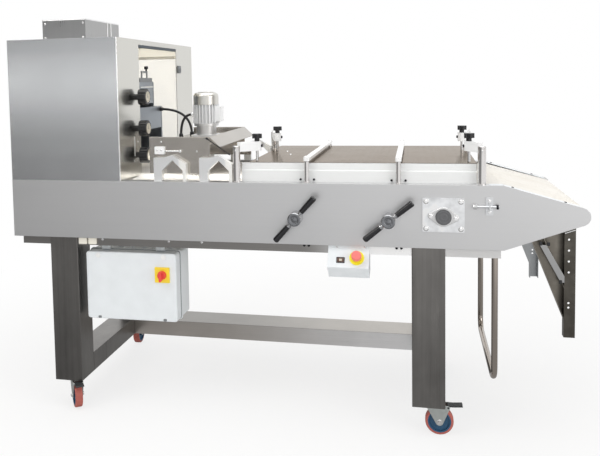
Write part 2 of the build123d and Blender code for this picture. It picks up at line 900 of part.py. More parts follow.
# Hood: a sheet cover with a sunk deck for the gearmotor, a sloped apron at its outlet
# and a low shelf that reaches back to the rear brackets
with BuildPart() as hood:
    for face, inward, low, high in ((hood_front, 1, hood_bottom, hood_top),
                                    (hood_rear, -1, hood_shelf, hood_top),
                                    (hood_back, -1, hood_bottom, hood_shelf)):
        with BuildSketch(facing_front(face)):
            with Locations((hood_left, low)):
                Rectangle(hood_length, high - low, align=(Align.MIN, Align.MIN))
        extrude(amount=-inward * hood_sheet)
    with BuildSketch(Plane.XY.offset(hood_shelf)):
        with Locations((hood_left, hood_rear - hood_sheet)):
            Rectangle(hood_length, hood_back - hood_rear + hood_sheet, align=(Align.MIN, Align.MIN))
    extrude(amount=-hood_sheet)
    with BuildSketch(facing_front(hood_front)):
        with Locations((hood_left, hood_deck)):
            Rectangle(hood_length, hood_sheet, align=(Align.MIN, Align.MAX))
        with BuildLine():
            Polyline((hood_right - hood_sheet, hood_deck - hood_sheet),
                     (hood_right - hood_sheet, hood_top), (hood_right, hood_top),
                     (hood_right + apron_reach, hood_top - apron_drop),
                     (hood_right + apron_reach - hood_sheet, hood_top - apron_drop),
                     (hood_right, hood_top - 2 * hood_sheet),
                     (hood_right, hood_deck - hood_sheet), close=True)
        make_face()
    extrude(amount=-(hood_rear - hood_front))
write(hood, "hood")


# Arch brackets: gate-shaped castings that stand on the bed and carry the hood
with BuildPart() as arches:
    for face in (hood_front - arch_depth, hood_back):
        for index in range(2):
            foot = left_end + arch_from_left + index * arch_pitch
            opening = foot + arch_pillar
            with BuildSketch(facing_front(face)):
                with BuildLine():
                    Polyline((foot, panel_top), (foot, panel_top + arch_height),
                             (foot + arch_pillar, panel_top + arch_height),
                             (foot + arch_peak_from_foot, panel_top + arch_peak),
                             (foot + arch_length, panel_top + arch_end_height),
                             (foot + arch_length, panel_top), close=True)
                make_face()
                with BuildLine():
                    Polyline((opening, panel_top), (opening, panel_top + arch_opening_side),
                             (foot + arch_peak_from_foot, panel_top + arch_opening_peak),
                             (opening + arch_opening, panel_top + arch_opening_side),
                             (opening + arch_opening, panel_top), close=True)
                make_face(mode=Mode.SUBTRACT)
            extrude(amount=-arch_depth)
write(arches, "arch_brackets")


# Curling net: a mesh hung from a bar across the hood, trailing down to the belt
net_left = hood_left + 2 * net_bar_radius
net_top = hood_bottom + net_bar_rise
net_width = hood_back - hood_front - 2 * hood_sheet - 2 * arch_depth
net_fall = asin((net_top - belt_top - net_lift) / net_length)
net_plane = Plane(
    origin=(net_left, middle_depth, net_top),
    x_dir=(cos(net_fall), 0, -sin(net_fall)),
    z_dir=(sin(net_fall), 0, cos(net_fall)),
)
net_gap_length = (net_length - net_bar_radius - net_strand) / net_rows - net_strand
net_gap_width = (net_width - net_strand) / net_columns - net_strand
with BuildPart() as net:
    with BuildSketch(net_plane):
        Rectangle(net_length, net_width, align=(Align.MIN, Align.CENTER))
        with Locations(((net_length + net_bar_radius) / 2, 0)):
            with GridLocations(net_gap_length + net_strand, net_gap_width + net_strand,
                               net_rows, net_columns):
                Rectangle(net_gap_length, net_gap_width, mode=Mode.SUBTRACT)
    extrude(amount=net_sheet / 2, both=True)
    with BuildSketch(facing_front(middle_depth)):
        with Locations((net_left, net_top)):
            Circle(net_bar_radius)
    extrude(amount=(hood_back - hood_front) / 2 - hood_sheet, both=True)
write(net, "curling_net")


# Gearmotor: a gearbox foot on the hood, a finned motor and its fan cover
motor_axis = (left_end + motor_from_left, front_face + motor_from_front)
motor_base = hood_deck + gearbox_height
with BuildPart() as gearbox:
    with BuildSketch(Plane.XY.offset(hood_deck)):
        with Locations(motor_axis):
            RectangleRounded(gearbox_flange, gearbox_flange, gearbox_corner)
    extrude(amount=gearbox_flange_sheet)
    with BuildSketch(Plane.XY.offset(hood_deck)):
        with Locations(motor_axis):
            Circle(gearbox_radius)
    extrude(amount=gearbox_height)
    with BuildSketch(Plane.XY.offset(motor_base - gearbox_flange_sheet)):
        with Locations(motor_axis):
            Circle(motor_fin_radius - motor_fin_thickness)
    extrude(amount=gearbox_flange_sheet)
write(gearbox, "gearbox")

with BuildPart() as motor:
    with BuildSketch(Plane.XY.offset(motor_base)):
        with Locations(motor_axis):
            Circle(motor_core_radius)
            with PolarLocations((motor_core_radius + motor_fin_radius) / 2, motor_fin_count):
                Rectangle(motor_fin_radius - motor_core_radius + 2 * motor_fin_root, motor_fin_thickness)
    extrude(amount=motor_height)
    with BuildSketch(Plane.XY.offset(motor_base + (motor_height - terminal_height) / 2)):
        with Locations(motor_axis):
            Rectangle(terminal_reach, terminal_depth, align=(Align.MIN, Align.CENTER))
    extrude(amount=terminal_height)
    with BuildSketch(facing_right(motor_axis[0] - motor_fin_radius - lead_gland_length)):
        with Locations((motor_axis[1], motor_base + lead_height_on_motor)):
            Circle(lead_gland_radius)
    extrude(amount=motor_fin_radius + lead_gland_length)
write(motor, "motor_housing")

with BuildPart() as fan_cover:
    cover_base = motor_base + motor_height
    crown = cover_base + fan_cover_height
    rim_low = (fan_cover_radius, crown - fan_cover_rise - fan_cover_round)
    rim_high = (fan_cover_radius - fan_cover_round, crown - fan_cover_rise)
    with BuildSketch(Plane(origin=(*motor_axis, 0), x_dir=(1, 0, 0), z_dir=(0, -1, 0))):
        with BuildLine():
            Polyline((0, cover_base), (fan_cover_radius, cover_base), rim_low)
            RadiusArc(rim_low, rim_high, -fan_cover_round)
            Polyline(rim_high, (0, crown), (0, cover_base))
        make_face()
    revolve(axis=Axis((*motor_axis, 0), (0, 0, 1)))
    with BuildSketch(Plane.XY.offset(cover_base)):
        with Locations(motor_axis):
            Circle(fan_cover_radius - fan_cover_sheet)
    extrude(amount=fan_cover_hollow, mode=Mode.SUBTRACT)
write(fan_cover, "motor_fan_cover")


# Cables of the head: the roller guard's lead and the motor's lead, each down to the hood's deck
cable_start = (left_end + plate_lower_length, front_face + cable_from_front, cable_height)
cable_corner = (hood_left + cable_from_hood, cable_start[1], cable_height)
lead_height = motor_base + lead_height_on_motor
lead_start = (motor_axis[0] - motor_fin_radius - lead_gland_length, motor_axis[1], lead_height)
lead_corner = (lead_start[0] - lead_bend - lead_run, motor_axis[1], lead_height)
with BuildPart() as cables:
    for start, corner, bend in ((cable_start, cable_corner, cable_bend),
                                (lead_start, lead_corner, lead_bend)):
        run = 1 if corner[0] > start[0] else -1
        with BuildLine() as route:
            FilletPolyline(start, corner, (corner[0], corner[1], hood_deck), radius=bend)
        with BuildSketch(Plane(origin=start, x_dir=(0, 1, 0), z_dir=(run, 0, 0))):
            Circle(cable_radius)
        sweep(path=route.wire())
write(cables, "head_cables")


# Chrome posts on the top folds: thick ones at the corners, thin ones between
post_rows = (front_face + post_inset, rear_face - post_inset)
with BuildPart() as posts:
    for place, radius, top in ((corner_left_from_left, corner_post_radius, corner_post_top),
                               (corner_right_from_left, corner_post_radius, corner_post_top),
                               (middle_left_from_left, middle_post_radius, middle_post_top),
                               (middle_right_from_left, middle_post_radius, middle_post_top)):
        with BuildSketch(Plane.XY.offset(panel_top)):
            with Locations(*[(left_end + place, row) for row in post_rows]):
                Circle(radius)
        extrude(amount=top - panel_top)
    post_ends = posts.edges().filter_by(lambda edge: edge.center().Z > panel_top + post_chamfer)
    chamfer(post_ends.filter_by(GeomType.CIRCLE), post_chamfer)
write(posts, "board_posts")


# Cross bars over the pressure board, from post to post
with BuildPart() as cross_bars:
    for place in (middle_left_from_left, middle_right_from_left):
        with BuildSketch(Plane.XY.offset(middle_post_top)):
            with Locations((left_end + place, middle_depth)):
                RectangleRounded(cross_bar_width, bed_depth - 2 * post_inset + cross_bar_width,
                                 cross_bar_corner)
        extrude(amount=cross_bar_height)
write(cross_bars, "cross_bars")


# White side guides along both edges of the belt, with a ridge where the web is set back
guide_left = left_end + corner_left_from_left + corner_post_radius + guide_gap
guide_right = left_end + corner_right_from_left - corner_post_radius - guide_gap
guide_inset = post_inset + corner_post_radius + guide_gap / 2
with BuildPart() as guides:
    for outer, inward in ((front_face, 1), (rear_face, -1)):
        outside = outer + inward * guide_inset
        inside = outside + inward * guide_foot
        with BuildSketch(facing_right(guide_left)):
            with BuildLine():
                Polyline((outside, panel_top), (inside, panel_top), (inside, panel_top + guide_height),
                         (inside - inward * guide_web, panel_top + guide_height),
                         (inside - inward * guide_web, panel_top + guide_ridge + guide_bevel),
                         (outside, panel_top + guide_ridge), close=True)
            make_face()
        extrude(amount=guide_right - guide_left)
write(guides, "side_guides")


# Pressure board: a sheet pan between the guides, hung on four height screws
board_left = left_end + board_left_from_left
board_right = left_end + board_right_from_left
board_inset = guide_inset + guide_foot + board_side_gap
board_front = front_face + board_inset
board_rear = rear_face - board_inset
left_screws = left_end + corner_left_from_left + screw_left_offset
right_screws = left_end + corner_right_from_left - screw_right_offset
screw_places = {
    "front_left": (left_screws, post_rows[0] + screw_front_offset),
    "rear_left": (left_screws, post_rows[1] - screw_rear_offset),
    "front_right": (right_screws, post_rows[0] + screw_front_offset),
    "rear_right": (right_screws, post_rows[1] - screw_rear_offset),
}
with BuildPart() as board:
    with BuildSketch(Plane.XY.offset(board_top)):
        with Locations(((board_left + board_right) / 2, (board_front + board_rear) / 2)):
            Rectangle(board_right - board_left, board_rear - board_front)
    extrude(amount=-board_skirt)
    with BuildSketch(Plane.XY.offset(board_top - board_skirt)):
        with Locations(((board_left + board_right) / 2, (board_front + board_rear) / 2)):
            Rectangle(board_right - board_left - 2 * board_sheet,
                      board_rear - board_front - 2 * board_sheet)
    extrude(amount=board_skirt - board_sheet, mode=Mode.SUBTRACT)
    with BuildSketch(Plane.XY.offset(board_top - board_sheet)):
        with Locations(*screw_places.values()):
            Circle(screw_radius + screw_nut_gap)
    extrude(amount=board_sheet, mode=Mode.SUBTRACT)
write(board, "pressure_board")


# Clamp arms of the height screws: white blocks seated against the inner side of the corner posts
with BuildPart() as clamps:
    for corner, screw in screw_places.items():
        post_from_left = corner_left_from_left if corner.endswith("left") else corner_right_from_left
        post_x = left_end + post_from_left
        post_y = post_rows[0] if corner.startswith("front") else post_rows[1]
        seat_share = corner_post_radius / hypot(screw[0] - post_x, screw[1] - post_y)
        seat = (post_x + seat_share * (screw[0] - post_x), post_y + seat_share * (screw[1] - post_y))
        with BuildSketch(Plane.XY.offset(clamp_top - clamp_height)):
            with Locations(seat):
                Circle(clamp_seat_radius)
            with Locations(screw):
                Circle(screw_radius + clamp_screw_wall)
            make_hull()
            with Locations((post_x, post_y)):
                Circle(corner_post_radius + running_gap, mode=Mode.SUBTRACT)
            with Locations(screw):
                Circle(screw_radius + running_gap, mode=Mode.SUBTRACT)
        extrude(amount=clamp_height)
write(clamps, "screw_clamps")


# Star knobs, each on a height screw that runs through its clamp and the board
def star_knob(name, place):
    knob_base = clamp_top + seat_gap
    with BuildPart() as knob:
        with BuildSketch(Plane.XY.offset(knob_base)):
            with Locations(place):
                Circle(knob_hub_radius)
        extrude(amount=knob_hub)
        with BuildSketch(Plane.XY.offset(knob_base + knob_hub)):
            with Locations(place):
                Circle(knob_core_radius)
                with PolarLocations(knob_radius - knob_lobe_radius, knob_lobes):
                    Circle(knob_lobe_radius)
        extrude(amount=knob_height)
        fillet(knob.faces().sort_by(Axis.Z)[-1].outer_wire().edges(), knob_edge)
        with BuildSketch(Plane.XY.offset(knob_base)):
            with Locations(place):
                Circle(screw_radius)
        extrude(amount=-(knob_base - board_top + screw_below_board))
    write(knob, name)


for corner, screw in screw_places.items():
    star_knob(f"height_knob_{corner}", screw)


# Stand: two pairs of box legs on low beams, with a broad stretcher between them
leg_front = front_face + leg_setback
leg_rear = rear_face - leg_setback
rail_fronts = (front_face + rail_setback, rear_face - rail_setback - rail_depth)
castor_rows = (leg_front + leg_depth / 2, leg_rear - leg_depth / 2)
left_castors = left_end + left_leg_from_left + leg_width / 2
right_castors = left_end + right_leg_from_left + leg_width / 2
with BuildPart() as stand:
    for middle in (left_castors, right_castors):
        with BuildSketch(Plane.XY.offset(leg_bottom)):
            with Locations(*[(middle, row) for row in castor_rows]):
                RectangleRounded(leg_width, leg_depth, leg_corner)
                Rectangle(leg_width - 2 * leg_sheet, leg_depth - 2 * leg_sheet, mode=Mode.SUBTRACT)
        extrude(amount=rail_top - leg_bottom)
        with BuildSketch(Plane.XY.offset(leg_bottom)):
            with Locations(*[(middle, row) for row in castor_rows]):
                Rectangle(leg_width - 2 * leg_sheet, leg_depth - 2 * leg_sheet)
        extrude(amount=foot_plate)
        with BuildSketch(facing_front(leg_front + leg_depth)):
            with Locations((middle, leg_bottom + beam_height / 2)):
                Rectangle(leg_width, beam_height)
                Rectangle(leg_width - 2 * leg_sheet, beam_height - 2 * leg_sheet, mode=Mode.SUBTRACT)
        extrude(amount=-(leg_rear - leg_front - 2 * leg_depth))
        for rail in rail_fronts:
            with BuildSketch(Plane.XY.offset(rail_bottom)):
                with Locations((middle, rail)):
                    Rectangle(leg_width, rail_depth, align=(Align.CENTER, Align.MIN))
            extrude(amount=rail_height, mode=Mode.SUBTRACT)
        with BuildSketch(Plane.XY.offset(leg_bottom)):
            with Locations(*[(middle, row) for row in castor_rows]):
                Circle(castor_pin_radius + running_gap)
        extrude(amount=foot_plate, mode=Mode.SUBTRACT)
    stretcher_middle = (leg_rear - stretcher_from_rear - stretcher_depth / 2,
                        leg_bottom + stretcher_height / 2)
    with BuildSketch(facing_right(left_castors + leg_width / 2)):
        with Locations(stretcher_middle):
            Rectangle(stretcher_depth, stretcher_height)
            Rectangle(stretcher_depth - 2 * leg_sheet, stretcher_height - 2 * leg_sheet, mode=Mode.SUBTRACT)
    extrude(amount=right_castors - left_castors - leg_width)
write(stand, "stand")


# Bed rails: two tubes under the panels, a member across their right end and a bent tube below it
loop_x = left_end + loop_from_left
loop_front = front_face + loop_from_front
with BuildPart() as rails:
    for rail in rail_fronts:
        with BuildSketch(facing_right(left_end + rail_from_left)):
            with Locations((rail + rail_depth / 2, rail_bottom + rail_height / 2)):
                Rectangle(rail_depth, rail_height)
                Rectangle(rail_depth - 2 * rail_sheet, rail_height - 2 * rail_sheet, mode=Mode.SUBTRACT)
        extrude(amount=rail_right_from_left - rail_from_left)
    with BuildSketch(facing_front(rail_fronts[0] + rail_depth)):
        with Locations((left_end + rail_right_from_left, rail_bottom)):
            Rectangle(end_member_width, rail_height, align=(Align.MAX, Align.MIN))
    extrude(amount=-(rail_fronts[1] - rail_fronts[0] - rail_depth))
    with BuildLine() as loop_path:
        FilletPolyline((loop_x, loop_front, rail_bottom), (loop_x, loop_front, loop_bottom),
                       (loop_x, loop_front + loop_depth, loop_bottom),
                       (loop_x, loop_front + loop_depth, rail_bottom), radius=loop_bend)
    with BuildSketch(Plane.XY.offset(rail_bottom)):
        with Locations((loop_x, loop_front)):
            Circle(loop_tube_radius)
            Circle(loop_tube_radius - loop_tube_wall, mode=Mode.SUBTRACT)
    sweep(path=loop_path.wire())
write(rails, "bed_rails")


# Castors: a swivelling fork under each leg, a wheel on its axle, and a pedal on the front ones
def castor_plane(middle, row, turn):
    """Local x points along the trail of the castor, and z is the height above the floor."""
    trail_way = (cos(radians(turn)), sin(radians(turn)), 0)
    return Plane(origin=(middle, row, 0), x_dir=trail_way, z_dir=(0, 0, 1))


def castor_side(base, across):
    """Upright plane along the trail, a distance across it."""
    origin = base.from_local_coords((0, across, 0))
    return Plane(origin=origin, x_dir=base.x_dir, z_dir=-base.y_dir)


fork_top = leg_bottom - castor_seat
crown_top = fork_top - castor_race
crown_length = castor_trail + 2 * castor_crown_over
cheek_inner = castor_wheel_width / 2 + castor_cheek_gap
cheek_outer = cheek_inner + castor_cheek
pedal_pivot = (castor_trail + pedal_pivot_forward, crown_top - pedal_pivot_drop)
pedal_width = 2 * (cheek_inner - pedal_side_gap)


def castor_fork(name, base, braked):
    with BuildPart() as fork:
        with BuildSketch(base.offset(fork_top)):
            Circle(castor_pin_radius)
        extrude(amount=foot_plate)
        with BuildSketch(base.offset(crown_top - castor_crown)):
            Circle(castor_head_radius)
            with Locations((castor_trail / 2, 0)):
                Rectangle(crown_length, 2 * cheek_outer)
        extrude(amount=castor_crown)
        with BuildSketch(base.offset(crown_top)):
            Circle(castor_head_radius - castor_race_step)
        extrude(amount=fork_top - crown_top)
        for across in (-cheek_outer, cheek_inner):
            with BuildSketch(castor_side(base, across)):
                with Locations((castor_trail, castor_wheel_radius)):
                    Circle(castor_hub_radius)
                with Locations((castor_trail / 2, crown_top - castor_crown)):
                    Rectangle(crown_length, castor_crown, align=(Align.CENTER, Align.MIN))
                if braked:
                    with Locations(pedal_pivot):
                        Circle(pedal_pivot_radius + pedal_ear)
                make_hull()
                if braked:
                    with Locations(pedal_pivot):
                        Circle(pedal_pivot_radius + running_gap, mode=Mode.SUBTRACT)
            extrude(amount=-castor_cheek)
        with BuildSketch(castor_side(base, -cheek_outer)):
            with Locations((castor_trail, castor_wheel_radius)):
                Circle(castor_axle_radius)
        extrude(amount=-2 * cheek_outer)
    write(fork, name)


def castor_wheel(name, base):
    side = castor_side(base, -castor_wheel_width / 2)
    with BuildPart() as wheel:
        with BuildSketch(side):
            with Locations((castor_trail, castor_wheel_radius)):
                Circle(castor_wheel_radius)
        extrude(amount=-castor_wheel_width)
        fillet(wheel.edges().filter_by(GeomType.CIRCLE), castor_tread_round)
        for across, way in ((-castor_wheel_width / 2, -1), (castor_wheel_width / 2, 1)):
            with BuildSketch(castor_side(base, across)):
                with Locations((castor_trail, castor_wheel_radius)):
                    Circle(castor_web_radius)
                    Circle(castor_boss_radius, mode=Mode.SUBTRACT)
            extrude(amount=way * castor_web_sink, mode=Mode.SUBTRACT)
        with BuildSketch(side):
            with Locations((castor_trail, castor_wheel_radius)):
                Circle(castor_axle_radius + running_gap)
        extrude(amount=-castor_wheel_width, mode=Mode.SUBTRACT)
    write(wheel, name)


def brake_pedal(name, base):
    x, z = pedal_pivot
    with BuildPart() as pedal:
        with BuildSketch(castor_side(base, -pedal_width / 2)):
            with BuildLine():
                Polyline((x - pedal_heel, z + pedal_heel), (x + pedal_flat, z + pedal_heel),
                         (x + pedal_length, z + pedal_rise),
                         (x + pedal_length - pedal_heel, z + pedal_rise + pedal_sheet),
                         (x + pedal_flat - pedal_heel, z + pedal_heel + pedal_sheet),
                         (x - pedal_heel, z + pedal_heel + pedal_sheet), close=True)
            make_face()
        extrude(amount=-pedal_width)
        with BuildSketch(castor_side(base, -pedal_width / 2)):
            with Locations(pedal_pivot):
                Circle(pedal_pivot_radius + pedal_ear)
        extrude(amount=-pedal_width)
        with BuildSketch(castor_side(base, -cheek_outer)):
            with Locations(pedal_pivot):
                Circle(pedal_pivot_radius)
        extrude(amount=-2 * cheek_outer)
    write(pedal, name)


castors = {
    "front_left": (left_castors, castor_rows[0], castor_front_left_turn, True),
    "front_right": (right_castors, castor_rows[0], castor_front_right_turn, True),
    "rear_left": (left_castors, castor_rows[1], castor_rear_left_turn, False),
    "rear_right": (right_castors, castor_rows[1], castor_rear_right_turn, False),
}
for corner, (middle, row, turn, braked) in castors.items():
    base = castor_plane(middle, row, turn)
    castor_fork(f"castor_fork_{corner}", base, braked)
    castor_wheel(f"castor_wheel_{corner}", base)
    if braked:
        brake_pedal(f"brake_pedal_{corner}", base)


# Electrical box: an open-fronted shell with a rim, hung from the front rail by two angle tabs, and its lid
box_left = left_end + box_from_left
box_right = box_left + box_length
box_top = rail_bottom - box_below_rail
box_bottom = box_top - box_height
box_front = front_face + box_from_front
box_middle = ((box_left + box_right) / 2, (box_top + box_bottom) / 2)
tab_back = rail_fronts[0] + rail_depth
with BuildPart() as box:
    with BuildSketch(facing_front(box_front)):
        with Locations(box_middle):
            RectangleRounded(box_length + 2 * box_rim, box_height + 2 * box_rim, box_corner)
    extrude(amount=-box_rim_depth)
    with BuildSketch(facing_front(box_front)):
        with Locations(box_middle):
            RectangleRounded(box_length, box_height, box_corner)
    extrude(amount=-box_depth)
    with BuildSketch(facing_front(box_front)):
        with Locations(box_middle):
            RectangleRounded(box_length - 2 * box_wall, box_height - 2 * box_wall, box_corner - box_wall)
    extrude(amount=-(box_depth - box_wall), mode=Mode.SUBTRACT)
    for tab_x in (box_left + box_tab_inset, box_right - box_tab_inset):
        with BuildSketch(facing_right(tab_x)):
            with Locations((tab_back, box_top + box_rim)):
                Rectangle(box_front + box_rim_depth - tab_back, box_tab_sheet, align=(Align.MIN, Align.MIN))
                Rectangle(box_tab_sheet, box_tab_height, align=(Align.MIN, Align.MIN))
        extrude(amount=box_tab_width / 2, both=True)
    with BuildSketch(Plane.XY.offset(box_top - box_wall)):
        with Locations((box_middle[0], box_front + gland_from_rim)):
            with GridLocations(box_length / (gland_count + 1), 1, gland_count, 1):
                Circle(gland_radius)
    extrude(amount=gland_height)
write(box, "electrical_box")

switch_centre = (box_right - switch_from_right, box_top - switch_from_top)
lid_face = box_front - box_lid_depth
with BuildPart() as lid:
    with BuildSketch(facing_front(box_front)):
        with Locations(box_middle):
            RectangleRounded(box_length, box_height, box_corner)
    extrude(amount=box_lid_depth)
    fillet(lid.faces().sort_by(Axis.Y)[0].outer_wire().edges(), box_lid_round)
    with BuildSketch(facing_front(box_front)):
        with Locations(box_middle):
            RectangleRounded(box_length - 2 * box_wall, box_height - 2 * box_wall, box_corner - box_wall)
    extrude(amount=box_lid_depth - box_wall, mode=Mode.SUBTRACT)
    with BuildSketch(facing_front(lid_face)):
        with Locations(switch_centre):
            RectangleRounded(switch_plate, switch_plate, switch_plate_corner)
    extrude(amount=switch_plate_sheet)
    with BuildSketch(facing_front(lid_face)):
        with Locations(switch_centre):
            Circle(switch_stem_radius + running_gap)
    extrude(amount=switch_plate_sheet, mode=Mode.SUBTRACT)
write(lid, "electrical_box_lid")

# Main switch: a round base with a raised grip, turning in the lid's switch plate
with BuildPart() as switch:
    switch_face = lid_face - switch_plate_sheet - seat_gap
    with BuildSketch(facing_front(switch_face)):
        with Locations(switch_centre):
            Circle(switch_radius)
    extrude(amount=switch_height, taper=switch_taper)
    with BuildSketch(facing_front(switch_face - switch_height)):
        with Locations(switch_centre):
            RectangleRounded(switch_grip_width, switch_grip_length, switch_grip_corner)
    extrude(amount=switch_grip_height)
    with BuildSketch(facing_front(switch_face)):
        with Locations(switch_centre):
            Circle(switch_stem_radius)
    extrude(amount=-switch_plate_sheet)
write(switch, "main_switch_knob")


# Control box: a wedge under the front rail with a sloped face for the rocker and the stop button
control_left = left_end + control_from_left
control_top = rail_bottom + control_over_rail
face_upper = (front_face + control_face_setback, control_top)
face_lower = (front_face - control_face_reach, control_top - control_face_drop)
face_run = face_upper[0] - face_lower[0]
face_length = hypot(face_run, control_face_drop)
face_depth = (face_upper[0] + face_lower[0]) / 2
control_face = Plane(
    origin=(control_left + control_length / 2, face_depth, control_top - control_face_drop / 2),
    x_dir=(1, 0, 0),
    z_dir=(0, -control_face_drop / face_length, face_run / face_length),
)
stop_place = (stop_from_middle, 0)
rocker_place = (rocker_from_middle, rocker_above_middle)


def rocker_plane(across):
    """Plane square to the rocker's axis, at a distance along it: local y points out of the face."""
    place = (rocker_from_middle, rocker_above_middle + across, -rocker_axis_depth)
    return Plane(origin=control_face.from_local_coords(place), x_dir=(1, 0, 0), z_dir=-control_face.y_dir)


rocker_pin_end = rocker_height / 2 + rocker_gap + rocker_pin_length
with BuildPart() as control_box:
    with BuildSketch(facing_right(control_left)):
        with BuildLine():
            Polyline(face_upper, (face_upper[0], control_top + control_flange),
                     (rail_fronts[0], control_top + control_flange), (rail_fronts[0], rail_bottom),
                     (front_face + control_back_setback, rail_bottom),
                     (front_face + control_back_setback, control_top - control_back_drop),
                     (front_face + control_belly_setback, control_top - control_belly_drop),
                     face_lower, close=True)
        make_face()
    extrude(amount=control_length)
    fillet(control_box.edges().filter_by(Axis.X).sort_by(Axis.Y)[0], control_corner)
    with BuildSketch(control_face):
        with Locations(stop_place):
            Circle(stop_collar_radius)
    extrude(amount=stop_collar_sheet)
    with BuildSketch(control_face.offset(stop_collar_sheet)):
        with Locations(stop_place):
            Circle(stop_stem_radius + running_gap)
    extrude(amount=-(stop_stem_depth + stop_travel + end_play), mode=Mode.SUBTRACT)
    with BuildSketch(control_face):
        with Locations(rocker_place):
            Rectangle(rocker_length + 2 * rocker_gap, rocker_height + 2 * rocker_gap)
    extrude(amount=-rocker_pocket, mode=Mode.SUBTRACT)
    with BuildSketch(rocker_plane(0)):
        Circle(rocker_pin_radius + running_gap)
    extrude(amount=rocker_pin_end + rocker_gap, both=True, mode=Mode.SUBTRACT)
write(control_box, "control_box")

with BuildPart() as rocker:
    with BuildSketch(rocker_plane(0)):
        with BuildLine():
            Polyline((-rocker_length / 2, rocker_axis_depth - rocker_sunk),
                     (rocker_length / 2, rocker_axis_depth - rocker_sunk),
                     (rocker_length / 2, rocker_axis_depth + rocker_proud),
                     (0, rocker_axis_depth + rocker_proud - rocker_dip),
                     (-rocker_length / 2, rocker_axis_depth + rocker_proud), close=True)
        make_face()
    extrude(amount=rocker_height / 2, both=True)
    with BuildSketch(rocker_plane(0)):
        Circle(rocker_pin_radius)
    extrude(amount=rocker_pin_end, both=True)
write(rocker, "start_rocker")

with BuildPart() as stop:
    stop_rise = stop_travel + stop_neck
    stop_seat = control_face.offset(stop_collar_sheet + stop_rise)
    with BuildSketch(stop_seat):
        with Locations(stop_place):
            Circle(stop_radius)
    extrude(amount=stop_height)
    out_of_face = Axis(control_face.origin, control_face.z_dir)
    fillet(stop.edges().filter_by(GeomType.CIRCLE).sort_by(out_of_face)[-1], stop_crown)
    with BuildSketch(stop_seat):
        with Locations(stop_place):
            Circle(stop_stem_radius)
    extrude(amount=-(stop_rise + stop_stem_depth))
write(stop, "stop_button")


# Outfeed tray brackets: a channel post with a row of holes, braced to the panel above it
tray_post_left = left_end + bed_length - tray_post_from_nose
brace_rise = tray_brace_top - tray_brace_low
brace_scale = hypot(tray_brace_reach, brace_rise) / tray_brace_reach
tray_hole_heights = [tray_hole_top - step * tray_hole_pitch for step in range(tray_hole_count)]
tray_hole_heights += [tray_low_hole_top - step * tray_low_hole_pitch for step in range(tray_low_hole_count)]
tray_holes = [(tray_post_left + tray_hole_inset, height) for height in tray_hole_heights]


def brace_corners(inset):
    """Corners of the slanted brace, or of the groove a sheet's thickness inside its edges."""
    low = tray_brace_low + inset * brace_scale
    high = tray_brace_low + (tray_brace_width - inset) * brace_scale
    slope = tray_brace_reach / brace_rise
    return [(tray_post_left, low), (tray_post_left, high),
            (tray_post_left - (tray_brace_top - high) * slope, tray_brace_top),
            (tray_post_left - (tray_brace_top - low) * slope, tray_brace_top)]


with BuildPart() as tray_brackets:
    for outer, inward in ((front_face + panel_sheet, 1), (rear_face - panel_sheet, -1)):
        with BuildSketch(facing_front(outer)):
            with Locations((tray_post_left, tray_post_bottom)):
                Rectangle(tray_post_width, tray_post_top - tray_post_bottom, align=(Align.MIN, Align.MIN))
            with BuildLine():
                Polyline(*brace_corners(0), close=True)
            make_face()
        extrude(amount=-inward * tray_post_depth)
        with BuildSketch(facing_front(outer + inward * tray_sheet)):
            with Locations((tray_post_left + tray_sheet, tray_post_bottom)):
                Rectangle(tray_post_width - 2 * tray_sheet, tray_post_top - tray_post_bottom,
                          align=(Align.MIN, Align.MIN))
        extrude(amount=-inward * (tray_post_depth - tray_sheet), mode=Mode.SUBTRACT)
        with BuildSketch(facing_front(outer)):
            with BuildLine():
                Polyline(*brace_corners(tray_sheet), close=True)
            make_face()
        extrude(amount=-inward * (tray_post_depth - tray_sheet), mode=Mode.SUBTRACT)
        with BuildSketch(facing_front(outer + inward * (tray_post_depth - tray_sheet))):
            with BuildLine():
                Polyline(brace_corners(0)[1], brace_corners(0)[2],
                         (tray_post_left, tray_brace_top), close=True)
            make_face()
        extrude(amount=-inward * tray_sheet)
        with BuildSketch(facing_front(outer)):
            with Locations(*tray_holes):
                Circle(tray_hole_radius)
        extrude(amount=-inward * tray_sheet, mode=Mode.SUBTRACT)
write(tray_brackets, "outfeed_brackets")
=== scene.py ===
# %% [markdown]
# # Dressing a dough moulder
# The machine arrives as a packed CAD model: every panel, roller, knob and castor is already in its place,
# in metres. This lesson gives it its looks. We set up a camera and a studio, write the finishes as node
# materials, and add the small things that a CAD model leaves out, such as screws, dials and cables.
# First comes the frame. Nothing in it is moved: every later piece takes its place from it.

# %% Load the frame
from contextlib import contextmanager
from math import asin, atan2, cos, pi, radians, sin

import bmesh
import bpy
from mathutils import Matrix, Vector
from mathutils.geometry import convex_hull_2d


